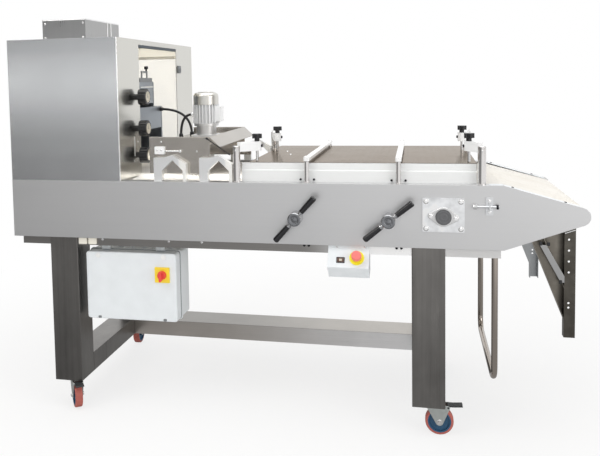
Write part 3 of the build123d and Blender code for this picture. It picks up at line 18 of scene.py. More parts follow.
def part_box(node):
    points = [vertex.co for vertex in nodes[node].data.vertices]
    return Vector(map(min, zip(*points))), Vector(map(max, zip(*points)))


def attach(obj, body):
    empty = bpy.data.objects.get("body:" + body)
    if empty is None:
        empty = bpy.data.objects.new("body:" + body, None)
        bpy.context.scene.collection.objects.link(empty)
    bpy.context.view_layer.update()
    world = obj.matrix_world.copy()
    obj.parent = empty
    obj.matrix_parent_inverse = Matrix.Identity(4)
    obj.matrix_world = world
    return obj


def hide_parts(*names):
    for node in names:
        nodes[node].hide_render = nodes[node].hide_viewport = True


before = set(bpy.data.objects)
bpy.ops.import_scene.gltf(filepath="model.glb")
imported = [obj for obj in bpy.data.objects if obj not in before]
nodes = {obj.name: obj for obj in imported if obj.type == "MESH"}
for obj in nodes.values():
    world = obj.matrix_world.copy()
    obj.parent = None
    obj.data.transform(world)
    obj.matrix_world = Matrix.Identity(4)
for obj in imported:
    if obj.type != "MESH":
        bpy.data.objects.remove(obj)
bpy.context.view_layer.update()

# %% [markdown]
# A machine drawing measures from an edge that you can touch. We do the same: millimetres from the left end
# of the bed, from the outer face of the front panel, and up from the floor. One function turns such a
# place into Blender's metres, so the numbers below read like a drawing, and another turns it back.

# %% A place on the machine
MM = 0.001
panel_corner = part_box("side_panel_front")[0]


def spot(x, y, z):
    """Millimetres from the left end, from the front panel and from the floor, as a point in metres."""
    return Vector((panel_corner[0] + x * MM, panel_corner[1] + y * MM, z * MM))


def in_mm(point):
    """A point in metres as millimetres on the machine."""
    return (Vector(point) - spot(0, 0, 0)) / MM


print("left end of the front panel at the floor:", spot(0, 0, 0))

# %% [markdown]
# ## The camera
# The photograph was taken from a little above the bed, right of the middle, with the camera turned slightly
# to the left. Its frame is cut lower than the lens looks. The lens is shifted for that and tilted only a
# little, which keeps the legs nearly upright. The turn is built from three axes, because a small roll is
# then one more line.

# %% Camera
CAMERA_PLACE = spot(1716.5, -2862.1, 1421.2)
YAW, PITCH, ROLL = radians(12.812), radians(3.994), radians(-1.095)
LENS = 43.99
SHIFT = (0.0833, -0.16)

level = Vector((cos(YAW), sin(YAW), 0))
ahead = Vector((-sin(YAW) * cos(PITCH), cos(YAW) * cos(PITCH), -sin(PITCH)))
above = level.cross(ahead)
right = level * cos(ROLL) + above * sin(ROLL)
top = right.cross(ahead)

camera = bpy.data.objects.new("camera", bpy.data.cameras.new("camera"))
camera.data.lens = LENS
camera.data.shift_x, camera.data.shift_y = SHIFT
camera.matrix_world = Matrix.Translation(CAMERA_PLACE) @ Matrix((right, top, -ahead)).transposed().to_4x4()
bpy.context.collection.objects.link(camera)
bpy.context.scene.camera = camera
bpy.context.scene.view_settings.view_transform = "Standard"
print("camera at", camera.location, "lens", LENS)

# %% [markdown]
# ## The two leads
# A lead runs from the roller guard's switch, and another from the motor, both down to the hood's deck.
# Rubber cable bends slowly. A NURBS line led by the corner points of the route does the same, while a
# polyline with rounded corners would look like bent wire. Both ends go into the machine.

# %% Leads
LEAD_DIAMETER = 0.012
LEADS = {"guard_lead": (0.234, [(480, 580, 1290), (641, 580, 1290), (641, 580, 1163)]),
         "motor_lead": (0.132, [(685, 440, 1268), (631, 440, 1268), (631, 440, 1163)])}

leads = []
for name, (length, route) in LEADS.items():
    curve = bpy.data.curves.new(name, "CURVE")
    curve.dimensions = "3D"
    curve.bevel_depth = 1.0  # times the radius of each point
    curve.bevel_resolution = 5
    curve.resolution_u = 24
    curve.use_fill_caps = True
    line = curve.splines.new("NURBS")
    line.points.add(len(route) - 1)
    for point, place in zip(line.points, route):
        point.co = (*spot(*place), 1)
        point.radius = LEAD_DIAMETER / 2
    line.order_u = 3
    line.use_endpoint_u = True
    lead = bpy.data.objects.new(name, curve)
    bpy.context.collection.objects.link(lead)
    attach(lead, "bed")
    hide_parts("head_cables")
    spot(*route[0])
    leads.append(lead)
print("leads:", [lead.name for lead in leads])

# %% [markdown]
# ## Shader sums in plain Python
# Node materials are easier to read as formulas. A small class wraps one socket and lends it +, - and *,
# each of which adds a Math node. Every other kind of node comes from its one method, node(): the kind, the
# settings, then a value or a link for each socket.

# %% Signal
class Signal:
    """A shader socket that can be used in sums; Signal(tree) alone starts a chain of nodes."""

    def __init__(self, tree, socket=None):
        self.tree = tree
        self.socket = socket

    def node(self, kind, settings=None, sockets=None, out=0):
        """A new node: its kind, its settings, which are set first, then a value or a link for each socket."""
        made = self.tree.nodes.new("ShaderNode" + kind)
        for name, value in (settings or {}).items():
            if name == "stops":
                ends = made.color_ramp.elements
                ends[0].position, ends[0].color = value[0]
                ends[1].position, ends[1].color = value[-1]
                for place, colour in value[1:-1]:
                    made.color_ramp.elements.new(place).color = colour
            else:
                setattr(made, name, value)
        for name, value in (sockets or {}).items():
            if isinstance(value, Signal):
                self.tree.links.new(value.socket, made.inputs[name])
            else:
                made.inputs[name].default_value = value
        return Signal(self.tree, made.outputs[out] if made.outputs else None)

    def split(self):
        """X, Y and Z of a vector."""
        parts = self.node("SeparateXYZ", sockets={0: self})
        return [Signal(self.tree, socket) for socket in parts.socket.node.outputs]

    def maths(self, operation, *values):
        return self.node("Math", {"operation": operation}, dict(enumerate(values)))

    def __add__(self, other):
        return self.maths("ADD", self, other)

    def __sub__(self, other):
        return self.maths("SUBTRACT", self, other)

    def __rsub__(self, other):
        return self.maths("SUBTRACT", other, self)

    def __mul__(self, other):
        return self.maths("MULTIPLY", self, other)

    __radd__ = __add__
    __rmul__ = __mul__


print("reflected operators:", [name for name in vars(Signal) if name.startswith("__r")])

# %% [markdown]
# A Math node turns a colour grey, so colours go through Mix and Vector Math nodes instead. Masks are soft
# steps: a mask rises from 0 to 1 between two values, and its smooth ends keep a border from looking cut.

# %% Soft steps and colours
def between(value, low, high, start=0.0, end=1.0):
    """A soft step: start below low, end above high."""
    return value.node("MapRange", {"interpolation_type": "SMOOTHSTEP"},
                      {0: value, 1: low, 2: high, 3: start, 4: end})


def tint(amount, colour, other):
    """A colour that goes from the first to the other."""
    return amount.node("Mix", {"data_type": "RGBA"}, {0: amount, 6: colour, 7: other}, out=2)


def shaded(colour, amount):
    """A colour made lighter or darker by an amount about 1."""
    return amount.node("VectorMath", {"operation": "SCALE"}, {0: colour, "Scale": amount})


print("helpers ready:", [helper.__name__ for helper in (between, tint, shaded)])

# %% [markdown]
# ## The studio
# The machine stands on a plain white floor in a white room. Polished metal needs more than white around it,
# or it vanishes: a chrome post shows its roundness by the dark walls at its sides. So the room that the
# metal mirrors is a workshop, dim and brown at both sides, pale behind the camera, paler to the right than
# to the left, and white beyond the machine. Light Path keeps that room out of the camera's own view.

# %% World
WHITE = (1, 1, 1, 1)
ROOM_LIGHT, ROOM_COLOUR = 0.60, (1.0, 0.99, 0.97, 1)
ROOM_SIDES = [(0.00, (0.10, 0.085, 0.07, 1)), (0.14, (0.18, 0.16, 0.14, 1)), (0.26, (0.30, 0.305, 0.31, 1)),
              (0.44, (0.76, 0.765, 0.77, 1)), (0.60, (0.96, 0.96, 0.96, 1)), (0.74, (0.90, 0.89, 0.87, 1)),
              (0.88, (0.30, 0.265, 0.23, 1)), (1.00, (0.14, 0.12, 0.10, 1))]
ROOM_BACK = (-0.1, 0.35)


def emptied(block):
    """The node tree of a world or a material, with nothing in it yet."""
    block.use_nodes = True
    block.node_tree.nodes.clear()
    return Signal(block.node_tree)


world = bpy.data.worlds.new("studio")
here = emptied(world)
camera_ray, clear_ray, glossy_ray = (here.node("LightPath", out=name) for name in
                                     ("Is Camera Ray", "Is Transmission Ray", "Is Glossy Ray"))
seen = here.maths("MAXIMUM", camera_ray, clear_ray)
x, y = here.node("TexCoord", out="Generated").split()[:2]
sides = here.node("ValToRGB", {"stops": ROOM_SIDES}, {0: x * 0.5 + 0.5})
mirrored = tint(between(y, *ROOM_BACK), sides, WHITE)
room = here.node("Background", sockets={0: ROOM_COLOUR, 1: ROOM_LIGHT})
shown = here.node("Background", sockets={0: tint(seen, mirrored, WHITE), 1: 1.0})
both = here.node("MixShader", sockets={0: here.maths("MAXIMUM", seen, glossy_ray), 1: room, 2: shown})
here.node("OutputWorld", sockets={0: both})
bpy.context.scene.world = world
print("world: room light", ROOM_LIGHT)

# %% [markdown]
# The floor is one large plane. Near the machine a part of what the camera sees is lit paint, which keeps
# the soft shadow, and further out it fades to plain white, so no horizon shows. In the metal the floor is
# dimmer close to the machine and to the left.

# %% Floor
FLOOR_HALF = 14.0
FLOOR_COLOUR = (0.86, 0.86, 0.86, 1)
SHADOW_SHARE, SHADOW_ENDS = 0.24, (1.3, 3.0)
FLOOR_NEAR, NEAR_ENDS = 0.45, (1.8, 4.5)
FLOOR_LEFT, LEFT_ENDS = 0.25, (-4.5, 0.6)

floor_mesh = bpy.data.meshes.new("floor")
corners = [(-FLOOR_HALF, -FLOOR_HALF, 0), (FLOOR_HALF, -FLOOR_HALF, 0),
           (FLOOR_HALF, FLOOR_HALF, 0), (-FLOOR_HALF, FLOOR_HALF, 0)]
floor_mesh.from_pydata(corners, [], [(0, 1, 2, 3)])
floor = bpy.data.objects.new("floor", floor_mesh)
bpy.context.collection.objects.link(floor)

floor_paint = bpy.data.materials.new("floor_paint")
here = emptied(floor_paint)
x, y = here.node("TexCoord", out="Object").split()[:2]
away = here.maths("SQRT", x * x + y * y)
camera_ray, glossy_ray = (here.node("LightPath", out=name) for name in ("Is Camera Ray", "Is Glossy Ray"))
share = between(away, *SHADOW_ENDS, SHADOW_SHARE, 0.0)
dim = between(away, *NEAR_ENDS, FLOOR_NEAR, 1.0) * between(x, *LEFT_ENDS, FLOOR_LEFT, 1.0)
paint = here.node("BsdfDiffuse", sockets={"Color": FLOOR_COLOUR})
white = here.node("Emission", sockets={"Color": shaded((1, 1, 1), camera_ray + (1 - camera_ray) * dim),
                                       "Strength": 1.0})
plain = here.maths("MAXIMUM", camera_ray * (1 - share), glossy_ray)
here.node("OutputMaterial", sockets={0: here.node("MixShader", sockets={0: plain, 1: paint, 2: white})})
floor_mesh.materials.append(floor_paint)
print("floor", 2 * FLOOR_HALF, "m wide")

# %% [markdown]
# Soft boxes light the machine: a broad one overhead, one high on the left that models the shapes, one from
# the right, and a long low one far to the left of the camera, which is the soft bright band in the head's
# brushed front. One from behind, one from the front and a strip clipped under the head's roof fill its
# inside, and another strip lights the belt under the hood. Those four are kept out of the mirrored room, as
# a photographer would screen them from the steel.

# %% Lamps
def soft_box(name, place, target, size, power, colour=(1, 1, 1), mirrored=True):
    lamp = bpy.data.lights.new(name, "AREA")
    lamp.shape = "RECTANGLE"
    lamp.size, lamp.size_y = size
    lamp.energy = power
    lamp.color = colour
    box = bpy.data.objects.new(name, lamp)
    box.location = place
    box.rotation_euler = (Vector(target) - Vector(place)).to_track_quat("-Z", "Y").to_euler()
    box.visible_glossy = box.visible_camera = mirrored
    bpy.context.collection.objects.link(box)


soft_box("overhead_box", (0.2, -0.6, 4.2), (0, 0, 0.9), (4.0, 3.0), 72)
soft_box("high_left_box", (-3.2, -3.2, 4.8), (-0.2, 0, 0.8), (2.2, 2.2), 60, (1.0, 0.98, 0.95))
soft_box("band_box", (-4.0, -6.5, 1.46), (-0.9, -0.5, 1.4), (5.5, 0.22), 11)
soft_box("back_box", (-1.2, 3.6, 2.2), (-0.9, 0.3, 1.3), (2.6, 2.0), 30, mirrored=False)
soft_box("fill_box", (1.1, -5.2, 2.0), (-0.7, 0.4, 1.2), (1.6, 1.2), 18, mirrored=False)
soft_box("inner_box", spot(300, 560, 1604), spot(300, 1037, 1440), (0.36, 0.06), 2.2, mirrored=False)
soft_box("hood_strip", spot(750, 240, 1092), spot(750, 200, 1000), (0.50, 0.10), 0.9, mirrored=False)
soft_box("right_box", (4.2, -3.0, 2.2), (0.4, 0, 0.9), (2.4, 2.4), 60)
print(len(bpy.data.lights), "soft boxes")

# %% [markdown]
# ## Finishes
# Every finish starts the same way: a new material, the point on the surface in the part's own frame, and at
# the end a Principled shader. Using the part's frame has a bonus. Grain, masks and marks stay on a piece
# when its joint moves it, because they are painted in the piece's rest place.

# %% How a finish begins
def begin(name):
    material = bpy.data.materials.new(name)
    here = emptied(material)
    return material, here, here.node("TexCoord", out="Object")


def stretch(place, x, y, z):
    """The same point with its axes scaled, so that a texture is drawn out along the small ones."""
    return place.node("VectorMath", {"operation": "MULTIPLY"}, {0: place, 1: (x, y, z)})


def noise(place, scale, detail=3.0, lumps=0.5):
    """Noise from about -0.5 to 0.5."""
    return place.node("TexNoise", sockets={"Vector": place, "Scale": scale, "Detail": detail,
                                           "Roughness": lumps}) - 0.5


print("textures ready:", [helper.__name__ for helper in (stretch, noise)])

# %% [markdown]
# Where a finish changes at an edge or a bend, its mask is given as a place on the machine, in millimetres.
# The closing function then joins everything. It can also round edges by eye: sheet that is sharp in the
# model catches no line of light, and a Bevel node gives it one without more geometry.

# %% Masks by place, and how a finish ends
def step(place, axis, low, high, start=0.0, end=1.0):
    """A soft step between two places on the machine, in millimetres along one axis."""
    i = "XYZ".index(axis)
    base = spot(0, 0, 0)[i]
    return between(place.split()[i], base + low * MM, base + high * MM, start, end)


def within(place, axis, rise, fall):
    """1 between two soft steps, each of them a pair of places in millimetres."""
    return step(place, axis, *rise) * step(place, axis, *fall, 1.0, 0.0)


def complete(material, here, colour, roughness, metallic=0.0, height=None, depth=0.0, edge=0.0, **others):
    """The closing shader: colour, roughness, metal and bump, and any others by the name of their socket.
    An edge radius rounds the sharp edges of sheet and castings by eye."""
    sockets = {"Base Color": colour, "Roughness": roughness, "Metallic": metallic}
    sockets.update({name.replace("_", " "): value for name, value in others.items()})
    normal = here.node("Bevel", {"samples": 4}, {"Radius": edge}) if edge else None
    if height is not None:
        bump = {"Height": height, "Distance": depth, "Strength": 1.0}
        if normal is not None:
            bump["Normal"] = normal
        normal = here.node("Bump", sockets=bump)
    if normal is not None:
        sockets["Normal"] = normal
    shader = here.node("BsdfPrincipled", sockets=sockets)
    here.node("OutputMaterial", sockets={0: shader})
    return material


print("closing helpers ready:", [helper.__name__ for helper in (step, within, complete)])

# %% [markdown]
# ### Stainless sheet
# Catering steel is not a mirror: it is ground with a belt, so it carries fine parallel scratches. They blur
# reflections across the grain, shift the tone a little from streak to streak, and stop at hand marks. The
# grain is noise stretched a hundred times along one axis. It drives tone, roughness and a shallow bump.

# %% Brushed steel
GRAIN = {"X": (5, 520, 520), "Y": (520, 5, 520), "Z": (520, 520, 5)}
BROAD_GRAIN = 0.12


def grain_of(place, along):
    fine = noise(stretch(place, *GRAIN[along]), 1.0, 2.0, 0.6)
    broad = noise(stretch(place, *(BROAD_GRAIN * scale for scale in GRAIN[along])), 1.0, 3.0, 0.6)
    return fine * 0.6 + broad * 0.8


def brushed_steel(name, tone, along, roughness, streaks, clouds, edge=0.0012, **others):
    material, here, place = begin(name)
    grain = grain_of(place, along)
    cloud = noise(place, 2.4, 3.0)
    hands = noise(place, 7.0, 4.0, 0.6)
    colour = shaded(tone, 1 + grain * streaks + cloud * clouds)
    rough = roughness + grain * 0.10 + hands * 0.10
    return complete(material, here, colour, rough, 1.0, grain, 0.00003, edge, **others)


panel_steel = brushed_steel("panel_steel", (0.71, 0.71, 0.715), "X", 0.42, 0.05, 0.06)
hood_steel = brushed_steel("hood_steel", (0.50, 0.47, 0.43), "X", 0.21, 0.05, 0.40, 0.004)
hopper_steel = brushed_steel("hopper_steel", (0.40, 0.40, 0.40), "Z", 0.30, 0.12, 0.14)
board_steel = brushed_steel("board_steel", (0.33, 0.297, 0.265), "Y", 0.17, 0.40, 0.25,
                            Specular_Tint=(0.60, 0.545, 0.485, 1))
roller_steel = brushed_steel("roller_steel", (0.62, 0.62, 0.62), "Y", 0.24, 0.08, 0.05, 0.0)
edge_steel = brushed_steel("edge_steel", (0.86, 0.86, 0.86), "X", 0.30, 0.06, 0.05)
print("sheet finishes:", panel_steel.name, hood_steel.name, board_steel.name)

# %% [markdown]
# The head's front is the same ground sheet, but its two strips beside the window are smoother, so the
# black handwheels mirror in them as soft dark patches; their warmer tone is a painted reflection. Its bent
# front corner gets a painted highlight, a near-white line, and the walls inside are pale cream, painted
# light for the daylight that comes in through the rear pane, so each gets a tone of its own. One material
# does all four, with a mask for each.

# %% Head sheet
HEAD_FACE = 504
HEAD_INSIDE = {"X": ((2.5, 3.0), (501.0, 501.5)), "Y": ((2.5, 3.0), (1037.0, 1037.5))}
ROOF_INSIDE = (1611.2, 1611.8)


def head_sheet():
    material, here, place = begin("head_steel")
    grain = grain_of(place, "X")
    cloud = noise(place, 1.8, 3.0)
    hands = noise(place, 6.0, 4.0, 0.6)
    # Painted reflection: the strips beside the window get a warmer tone; their smoothness is real.
    strip = step(place, "X", HEAD_FACE - 1.2, HEAD_FACE - 0.4)
    # Painted highlight: a near-white line down the bent front corner.
    bend_highlight = step(place, "X", HEAD_FACE - 6, HEAD_FACE - 3) * step(place, "Y", 2, 4, 1, 0)
    walls = within(place, "X", *HEAD_INSIDE["X"]) * within(place, "Y", *HEAD_INSIDE["Y"])
    # Painted light: the inner walls are pale cream for the daylight through the rear pane.
    inside = walls * step(place, "Z", *ROOF_INSIDE, 1, 0)
    sheet = shaded((0.63, 0.64, 0.65), 1 + grain * 0.14 + cloud * 0.08)
    smooth = shaded((0.64, 0.63, 0.59), 1 + cloud * 0.10)
    outside = tint(bend_highlight, tint(strip, sheet, smooth), (0.95, 0.95, 0.95, 1))
    colour = tint(inside, outside, (0.86, 0.83, 0.75, 1))
    rough = 0.23 + grain * 0.06 + hands * 0.06 - strip * 0.01 + inside * 0.23
    return complete(material, here, colour, rough, 1 - inside, grain * (1 - strip), 0.000012, 0.0012)


head_steel = head_sheet()
print("head:", head_steel.name)

# %% [markdown]
# The stand is welded from box section and looks darker than the panels: its grain runs down the legs and
# along the stretcher, so the mask asks where a point lies before it picks the direction. The stretcher gets
# a painted reflection: its front is painted lighter than its top, and both brighter towards the right. One
# length of the rail under the bed is a painted reflection too, nearly white and less metallic. The tones are
# set by place here, to match, so each gets a tone of its own that stays with the pieces in every view. The
# tube loop below is bare and smooth.

# %% Stand and rails
STRETCHER_ENDS = ((291.5, 292.5), (1695.5, 1696.5))
STRETCHER_TOP = (202.6, 203.6)
STRETCHER_REFLECTION_RAMP = (650, 1700)
LOOP_TOP = (730.0, 730.6)
REFLECTION_RAIL_START, REFLECTION_RAIL_END = (1250, 1560), (1700, 1830)


def stand_finish():
    material, here, place = begin("stand_steel")
    span = within(place, "X", *STRETCHER_ENDS)
    grain = grain_of(place, "X") * span + grain_of(place, "Z") * (1 - span)
    cloud = noise(place, 3.0, 4.0, 0.6)
    marks = between(noise(stretch(place, 9, 9, 3), 1.0, 5.0, 0.7), 0.08, 0.30)
    smears = noise(stretch(place, 7, 7, 2), 1.0, 4.0, 0.65)
    legs = shaded((0.207, 0.199, 0.190), 1 + grain * 0.45 + cloud * 0.6 + smears * 0.7 + marks * 0.4)
    # Painted reflection: the stretcher's front is lighter than its top, and both brighten towards the right.
    reflection_ramp = step(place, "X", *STRETCHER_REFLECTION_RAMP)
    front = tint(reflection_ramp, (0.57, 0.53, 0.49, 1), (1.0, 0.99, 0.99, 1))
    upper = tint(reflection_ramp, (0.30, 0.29, 0.275, 1), (0.50, 0.475, 0.44, 1))
    bare = tint(step(place, "Z", *STRETCHER_TOP), front, upper)
    stretcher = shaded(bare, 1 + grain * 0.22 + cloud * 0.45)
    rough = 0.30 + grain * 0.14 + marks * 0.10
    return complete(material, here, tint(span, legs, stretcher), rough, 1.0, grain, 0.00003, 0.0015)


def rail_finish():
    material, here, place = begin("rail_steel")
    tube = step(place, "Z", *LOOP_TOP, 1, 0)
    grain = grain_of(place, "X") * (1 - tube)
    cloud = noise(place, 3.0, 3.0)
    # Painted reflection: one length of the rail is painted nearly white and less metallic.
    pale = step(place, "X", *REFLECTION_RAIL_START) * step(place, "X", *REFLECTION_RAIL_END, 1.0, 0.6)
    rail = tint(pale, shaded((0.28, 0.27, 0.26), 1 + grain * 0.3 + cloud * 0.3),
                shaded((0.95, 0.95, 0.95), 1 + grain * 0.1 + cloud * 0.05))
    colour = tint(tube, rail, shaded((0.40, 0.355, 0.315), 1 + cloud * 0.1))
    rough = 0.32 + grain * 0.1 - tube * 0.26
    metal = 1 - pale * (1 - tube) * 0.6
    return complete(material, here, colour, rough, metal, grain, 0.00002, 0.001)


stand_steel = stand_finish()
rail_steel = rail_finish()
print("stand:", stand_steel.name, rail_steel.name)

# %% [markdown]
# ### Bright parts
# Posts, bars and screws are polished, and the castings are bead-blasted aluminium. Zinc plate is different
# again: it grows in cells, each with its own grey, so a Voronoi texture gives it a spangle.

# %% Bright metals
def polished_steel(name, tone, roughness=0.10, metal=1.0):
    material, here, place = begin(name)
    cloud = noise(place, 14.0, 3.0)
    wipes = noise(stretch(place, 260, 260, 30), 1.0, 2.0)
    rough = roughness + wipes * 0.08 + cloud * 0.04
    return complete(material, here, shaded(tone, 1 + cloud * 0.08), rough, metal, wipes, 0.000006, 0.0006)


def cast_alloy(name, tone):
    material, here, place = begin(name)
    sand = noise(place, 900.0, 3.0, 0.7)
    cloud = noise(place, 9.0, 3.0)
    colour = shaded(tone, 1 + cloud * 0.16 + sand * 0.10)
    return complete(material, here, colour, 0.44 + sand * 0.12, 1.0, sand, 0.00006, 0.0012)


def zinc_plate(name, tone):
    material, here, place = begin(name)
    cells = here.node("TexVoronoi", sockets={"Vector": place, "Scale": 95.0, "Randomness": 1.0}, out="Color")
    spangle = cells.split()[0] - 0.5
    cloud = noise(place, 20.0, 4.0, 0.6)
    colour = shaded(tone, 1 + spangle * 0.08 + cloud * 0.14)
    rough = 0.38 + spangle * 0.10 + cloud * 0.12
    return complete(material, here, colour, rough, 1.0, cloud, 0.00003, 0.0008)


post_chrome = polished_steel("post_chrome", (0.72, 0.70, 0.69))
bar_steel = polished_steel("bar_steel", (0.92, 0.92, 0.92), 0.26, 0.3)
bolt_steel = polished_steel("bolt_steel", (0.86, 0.86, 0.86), 0.20)
hub_steel = polished_steel("hub_steel", (0.23, 0.236, 0.25), 0.24)
black_oxide = cast_alloy("black_oxide", (0.035, 0.035, 0.04))
gear_alloy = cast_alloy("gear_alloy", (0.76, 0.76, 0.76))
block_iron = cast_alloy("block_iron", (0.20, 0.22, 0.245))
zinc = zinc_plate("zinc", (0.76, 0.77, 0.785))
fork_zinc = zinc_plate("fork_zinc", (0.62, 0.65, 0.63))
print("bright finishes:", post_chrome.name, gear_alloy.name, zinc.name)

# %% [markdown]
# Two more finishes are given tones by place, to match the photograph. The arch brackets are cast, and the
# right limb of each gets a painted highlight: a bright, less metallic strip where light falls on it. The
# front outfeed bracket is dark sheet with a brown tinge and an uneven sheen, as from a film of oil, so its
# tone drifts. Its brace looks brighter. The rear bracket, of which little shows, is paler.

# %% Arches and outfeed brackets
PAINTED_HIGHLIGHT_STRIPS = [((752, 760), (786, 788)), ((950, 958), (984, 986))]
BRACE_END, REAR_BRACKET = (2225, 2245), (430, 440)


def arch_finish():
    material, here, place = begin("arch_alloy")
    sand = noise(place, 900.0, 3.0, 0.7)
    cloud = noise(place, 9.0, 3.0)
    # Painted highlight: a bright strip on the right limb of each arch.
    strips = within(place, "X", *PAINTED_HIGHLIGHT_STRIPS[0]) + within(place, "X", *PAINTED_HIGHLIGHT_STRIPS[1])
    colour = tint(strips, shaded((0.90, 0.905, 0.905), 1 + cloud * 0.16 + sand * 0.10),
                  shaded((0.95, 0.94, 0.91), 1 + cloud * 0.08))
    return complete(material, here, colour, 0.44 + sand * 0.12, 1 - strips * 0.5, sand, 0.00006, 0.0012)


def bracket_finish():
    material, here, place = begin("bracket_steel")
    grain = grain_of(place, "Z")
    film = noise(place, 12.0, 4.0, 0.6)
    brace = step(place, "X", *BRACE_END, 1.0, 0.0)
    brown = tint(between(film, -0.2, 0.25), shaded((0.075, 0.068, 0.058), 1 + grain * 0.3 + brace * 1.6),
                 shaded((0.135, 0.125, 0.108), 1 + grain * 0.3 + brace * 1.2))
    pale = shaded((0.40, 0.415, 0.425), 1 + grain * 0.2 + film * 0.2)
    colour = tint(step(place, "Y", *REAR_BRACKET), brown, pale)
    return complete(material, here, colour, 0.36 + film * 0.2, 0.85, grain, 0.00003, 0.001)


arch_alloy = arch_finish()
bracket_steel = bracket_finish()
print("castings and brackets:", arch_alloy.name, bracket_steel.name)

# %% [markdown]
# ### Plastics
# A moulded part shows the texture of its mould, and a sawn and planed sheet shows faint tool lines. Both
# are noise at another scale: fine and even for the mould, drawn out for the plane.

# %% Plastics
def moulded(name, colour, roughness, scale=700.0, depth=0.00004, edge=0.001, drift=0.06):
    material, here, place = begin(name)
    pores = noise(place, scale, 2.0, 0.5)
    cloud = noise(place, 16.0, 3.0)
    tone = shaded(colour, 1 + cloud * drift + pores * drift * 0.5)
    return complete(material, here, tone, roughness + pores * 0.08 + cloud * 0.05, 0.0, pores, depth, edge)


def planed(name, colour, roughness):
    material, here, place = begin(name)
    lines = noise(stretch(place, 3, 300, 300), 1.0, 3.0, 0.6)
    dust = between(noise(place, 11.0, 5.0, 0.7), 0.02, 0.35)
    tone = shaded(colour, 1 + lines * 0.05 - dust * 0.05)
    return complete(material, here, tone, roughness + lines * 0.12, 0.0, lines, 0.00005, 0.0012)


guide_plastic = planed("guide_plastic", (0.79, 0.80, 0.80), 0.38)
clamp_plastic = planed("clamp_plastic", (0.86, 0.865, 0.87), 0.34)
black_plastic = moulded("black_plastic", (0.012, 0.012, 0.014), 0.30)
cable_rubber = moulded("cable_rubber", (0.016, 0.016, 0.017), 0.42)
# Painted shadow: the dark finish of the strip under the head's window lintel.
lintel_shadow_dark = moulded("lintel_shadow_dark", (0.055, 0.07, 0.085), 0.55)
cap_rubber = moulded("cap_rubber", (0.11, 0.112, 0.118), 0.40)
pedal_plastic = moulded("pedal_plastic", (0.03, 0.032, 0.034), 0.45)
box_moulding = moulded("box_moulding", (0.77, 0.805, 0.83), 0.48, 520.0, 0.00005, 0.0016, 0.03)
cream_plastic = moulded("cream_plastic", (0.80, 0.77, 0.68), 0.42)
strip_white = moulded("strip_white", (0.78, 0.81, 0.84), 0.30)
white_plastic = moulded("white_plastic", (0.84, 0.845, 0.85), 0.36)
grey_plastic = moulded("grey_plastic", (0.20, 0.21, 0.22), 0.40)
dial_face = moulded("dial_face", (0.62, 0.57, 0.47), 0.34)
red_plastic = moulded("red_plastic", (0.82, 0.07, 0.065), 0.26, 900.0, 0.00002)
stop_plastic = moulded("stop_plastic", (0.86, 0.20, 0.185), 0.30, 900.0, 0.00002)
rocker_plastic = moulded("rocker_plastic", (0.12, 0.065, 0.05), 0.30)
print("plastics:", black_plastic.name, guide_plastic.name, box_moulding.name)

# %% [markdown]
# ### Aluminium paint
# The motor is sprayed with paint that holds flakes of metal, and sprayed paint has the soft ripple that
# painters call orange peel. The grooves between the cooling fins get painted shade: they lie nearer to the
# motor's axis than the fins' tips, so the distance from the axis is the mask for it.

# %% Motor paint
MOTOR_X, BED_MIDDLE = 757, 440
MOTOR_AXIS = spot(MOTOR_X, BED_MIDDLE, 0)
GROOVE_SOFT, GROOVE_SHADE_TONE = 0.004, 0.72


def silver_paint(name, colour, roughness, metal, groove=0.0):
    material, here, place = begin(name)
    x, y = place.split()[:2]
    peel = noise(place, 160.0, 2.0, 0.5)
    tone = 1 + noise(place, 16.0, 3.0) * 0.1
    # Painted shade: darker in the grooves between the fins.
    if groove:
        across, deep = x - MOTOR_AXIS.x, y - MOTOR_AXIS.y
        tone = tone * between(across * across + deep * deep, (groove - GROOVE_SOFT) ** 2, groove ** 2,
                              GROOVE_SHADE_TONE, 1.0)
    rough = roughness + peel * 0.06
    return complete(material, here, shaded(colour, tone), rough, metal, peel, 0.00006, 0.001)


motor_paint = silver_paint("motor_paint", (0.97, 0.98, 0.99), 0.34, 0.3, 0.0555)
cover_paint = silver_paint("cover_paint", (0.70, 0.69, 0.65), 0.33, 1.0)
print("motor:", motor_paint.name, cover_paint.name)

# %% [markdown]
# ### Belt cloth
# The belt is cotton weave with a thin pale coating. Two sine waves at right angles give the over-and-under
# of the threads, and flour leaves a faint mottle.

# %% Belt
THREAD = 0.0016


def wave(run):
    turns = run * (2 * pi / THREAD)
    return turns.maths("SINE", turns)


def belt_finish():
    material, here, place = begin("belt_cloth")
    x, y = place.split()[:2]
    weave = wave(x) * wave(y)
    flour = noise(place, 5.0, 5.0, 0.65)
    worn = noise(stretch(place, 1.2, 26, 1.2), 1.0, 3.0)
    colour = tint(between(flour + worn * 0.5, -0.35, 0.35), (0.79, 0.755, 0.695, 1), (0.85, 0.83, 0.79, 1))
    return complete(material, here, colour, 0.78 + flour * 0.1, 0.0, weave, 0.00012)


belt_cloth = belt_finish()
print("belt:", belt_cloth.name)

# %% [markdown]
# ### Two finishes on one solid
# Some CAD solids are two materials in life. A lever is a turned steel hub with black grips, a castor wheel
# has a red tread on a blue core, a star knob is black on a bright screw. A mask measured from the piece's
# own axis tells them apart, and one function does the mixing.

# %% Two-tone finish
def from_axis(place, origin, along):
    """Distance from an axis, and distance along it."""
    offset = place.node("VectorMath", {"operation": "SUBTRACT"}, {0: place, 1: tuple(origin)})
    run = place.node("VectorMath", {"operation": "DOT_PRODUCT"}, {0: offset, 1: tuple(along)}, out="Value")
    length = place.node("VectorMath", {"operation": "LENGTH"}, {0: offset}, out="Value")
    away = length * length - run * run
    return away.maths("SQRT", away.maths("MAXIMUM", away, 0.0)), run


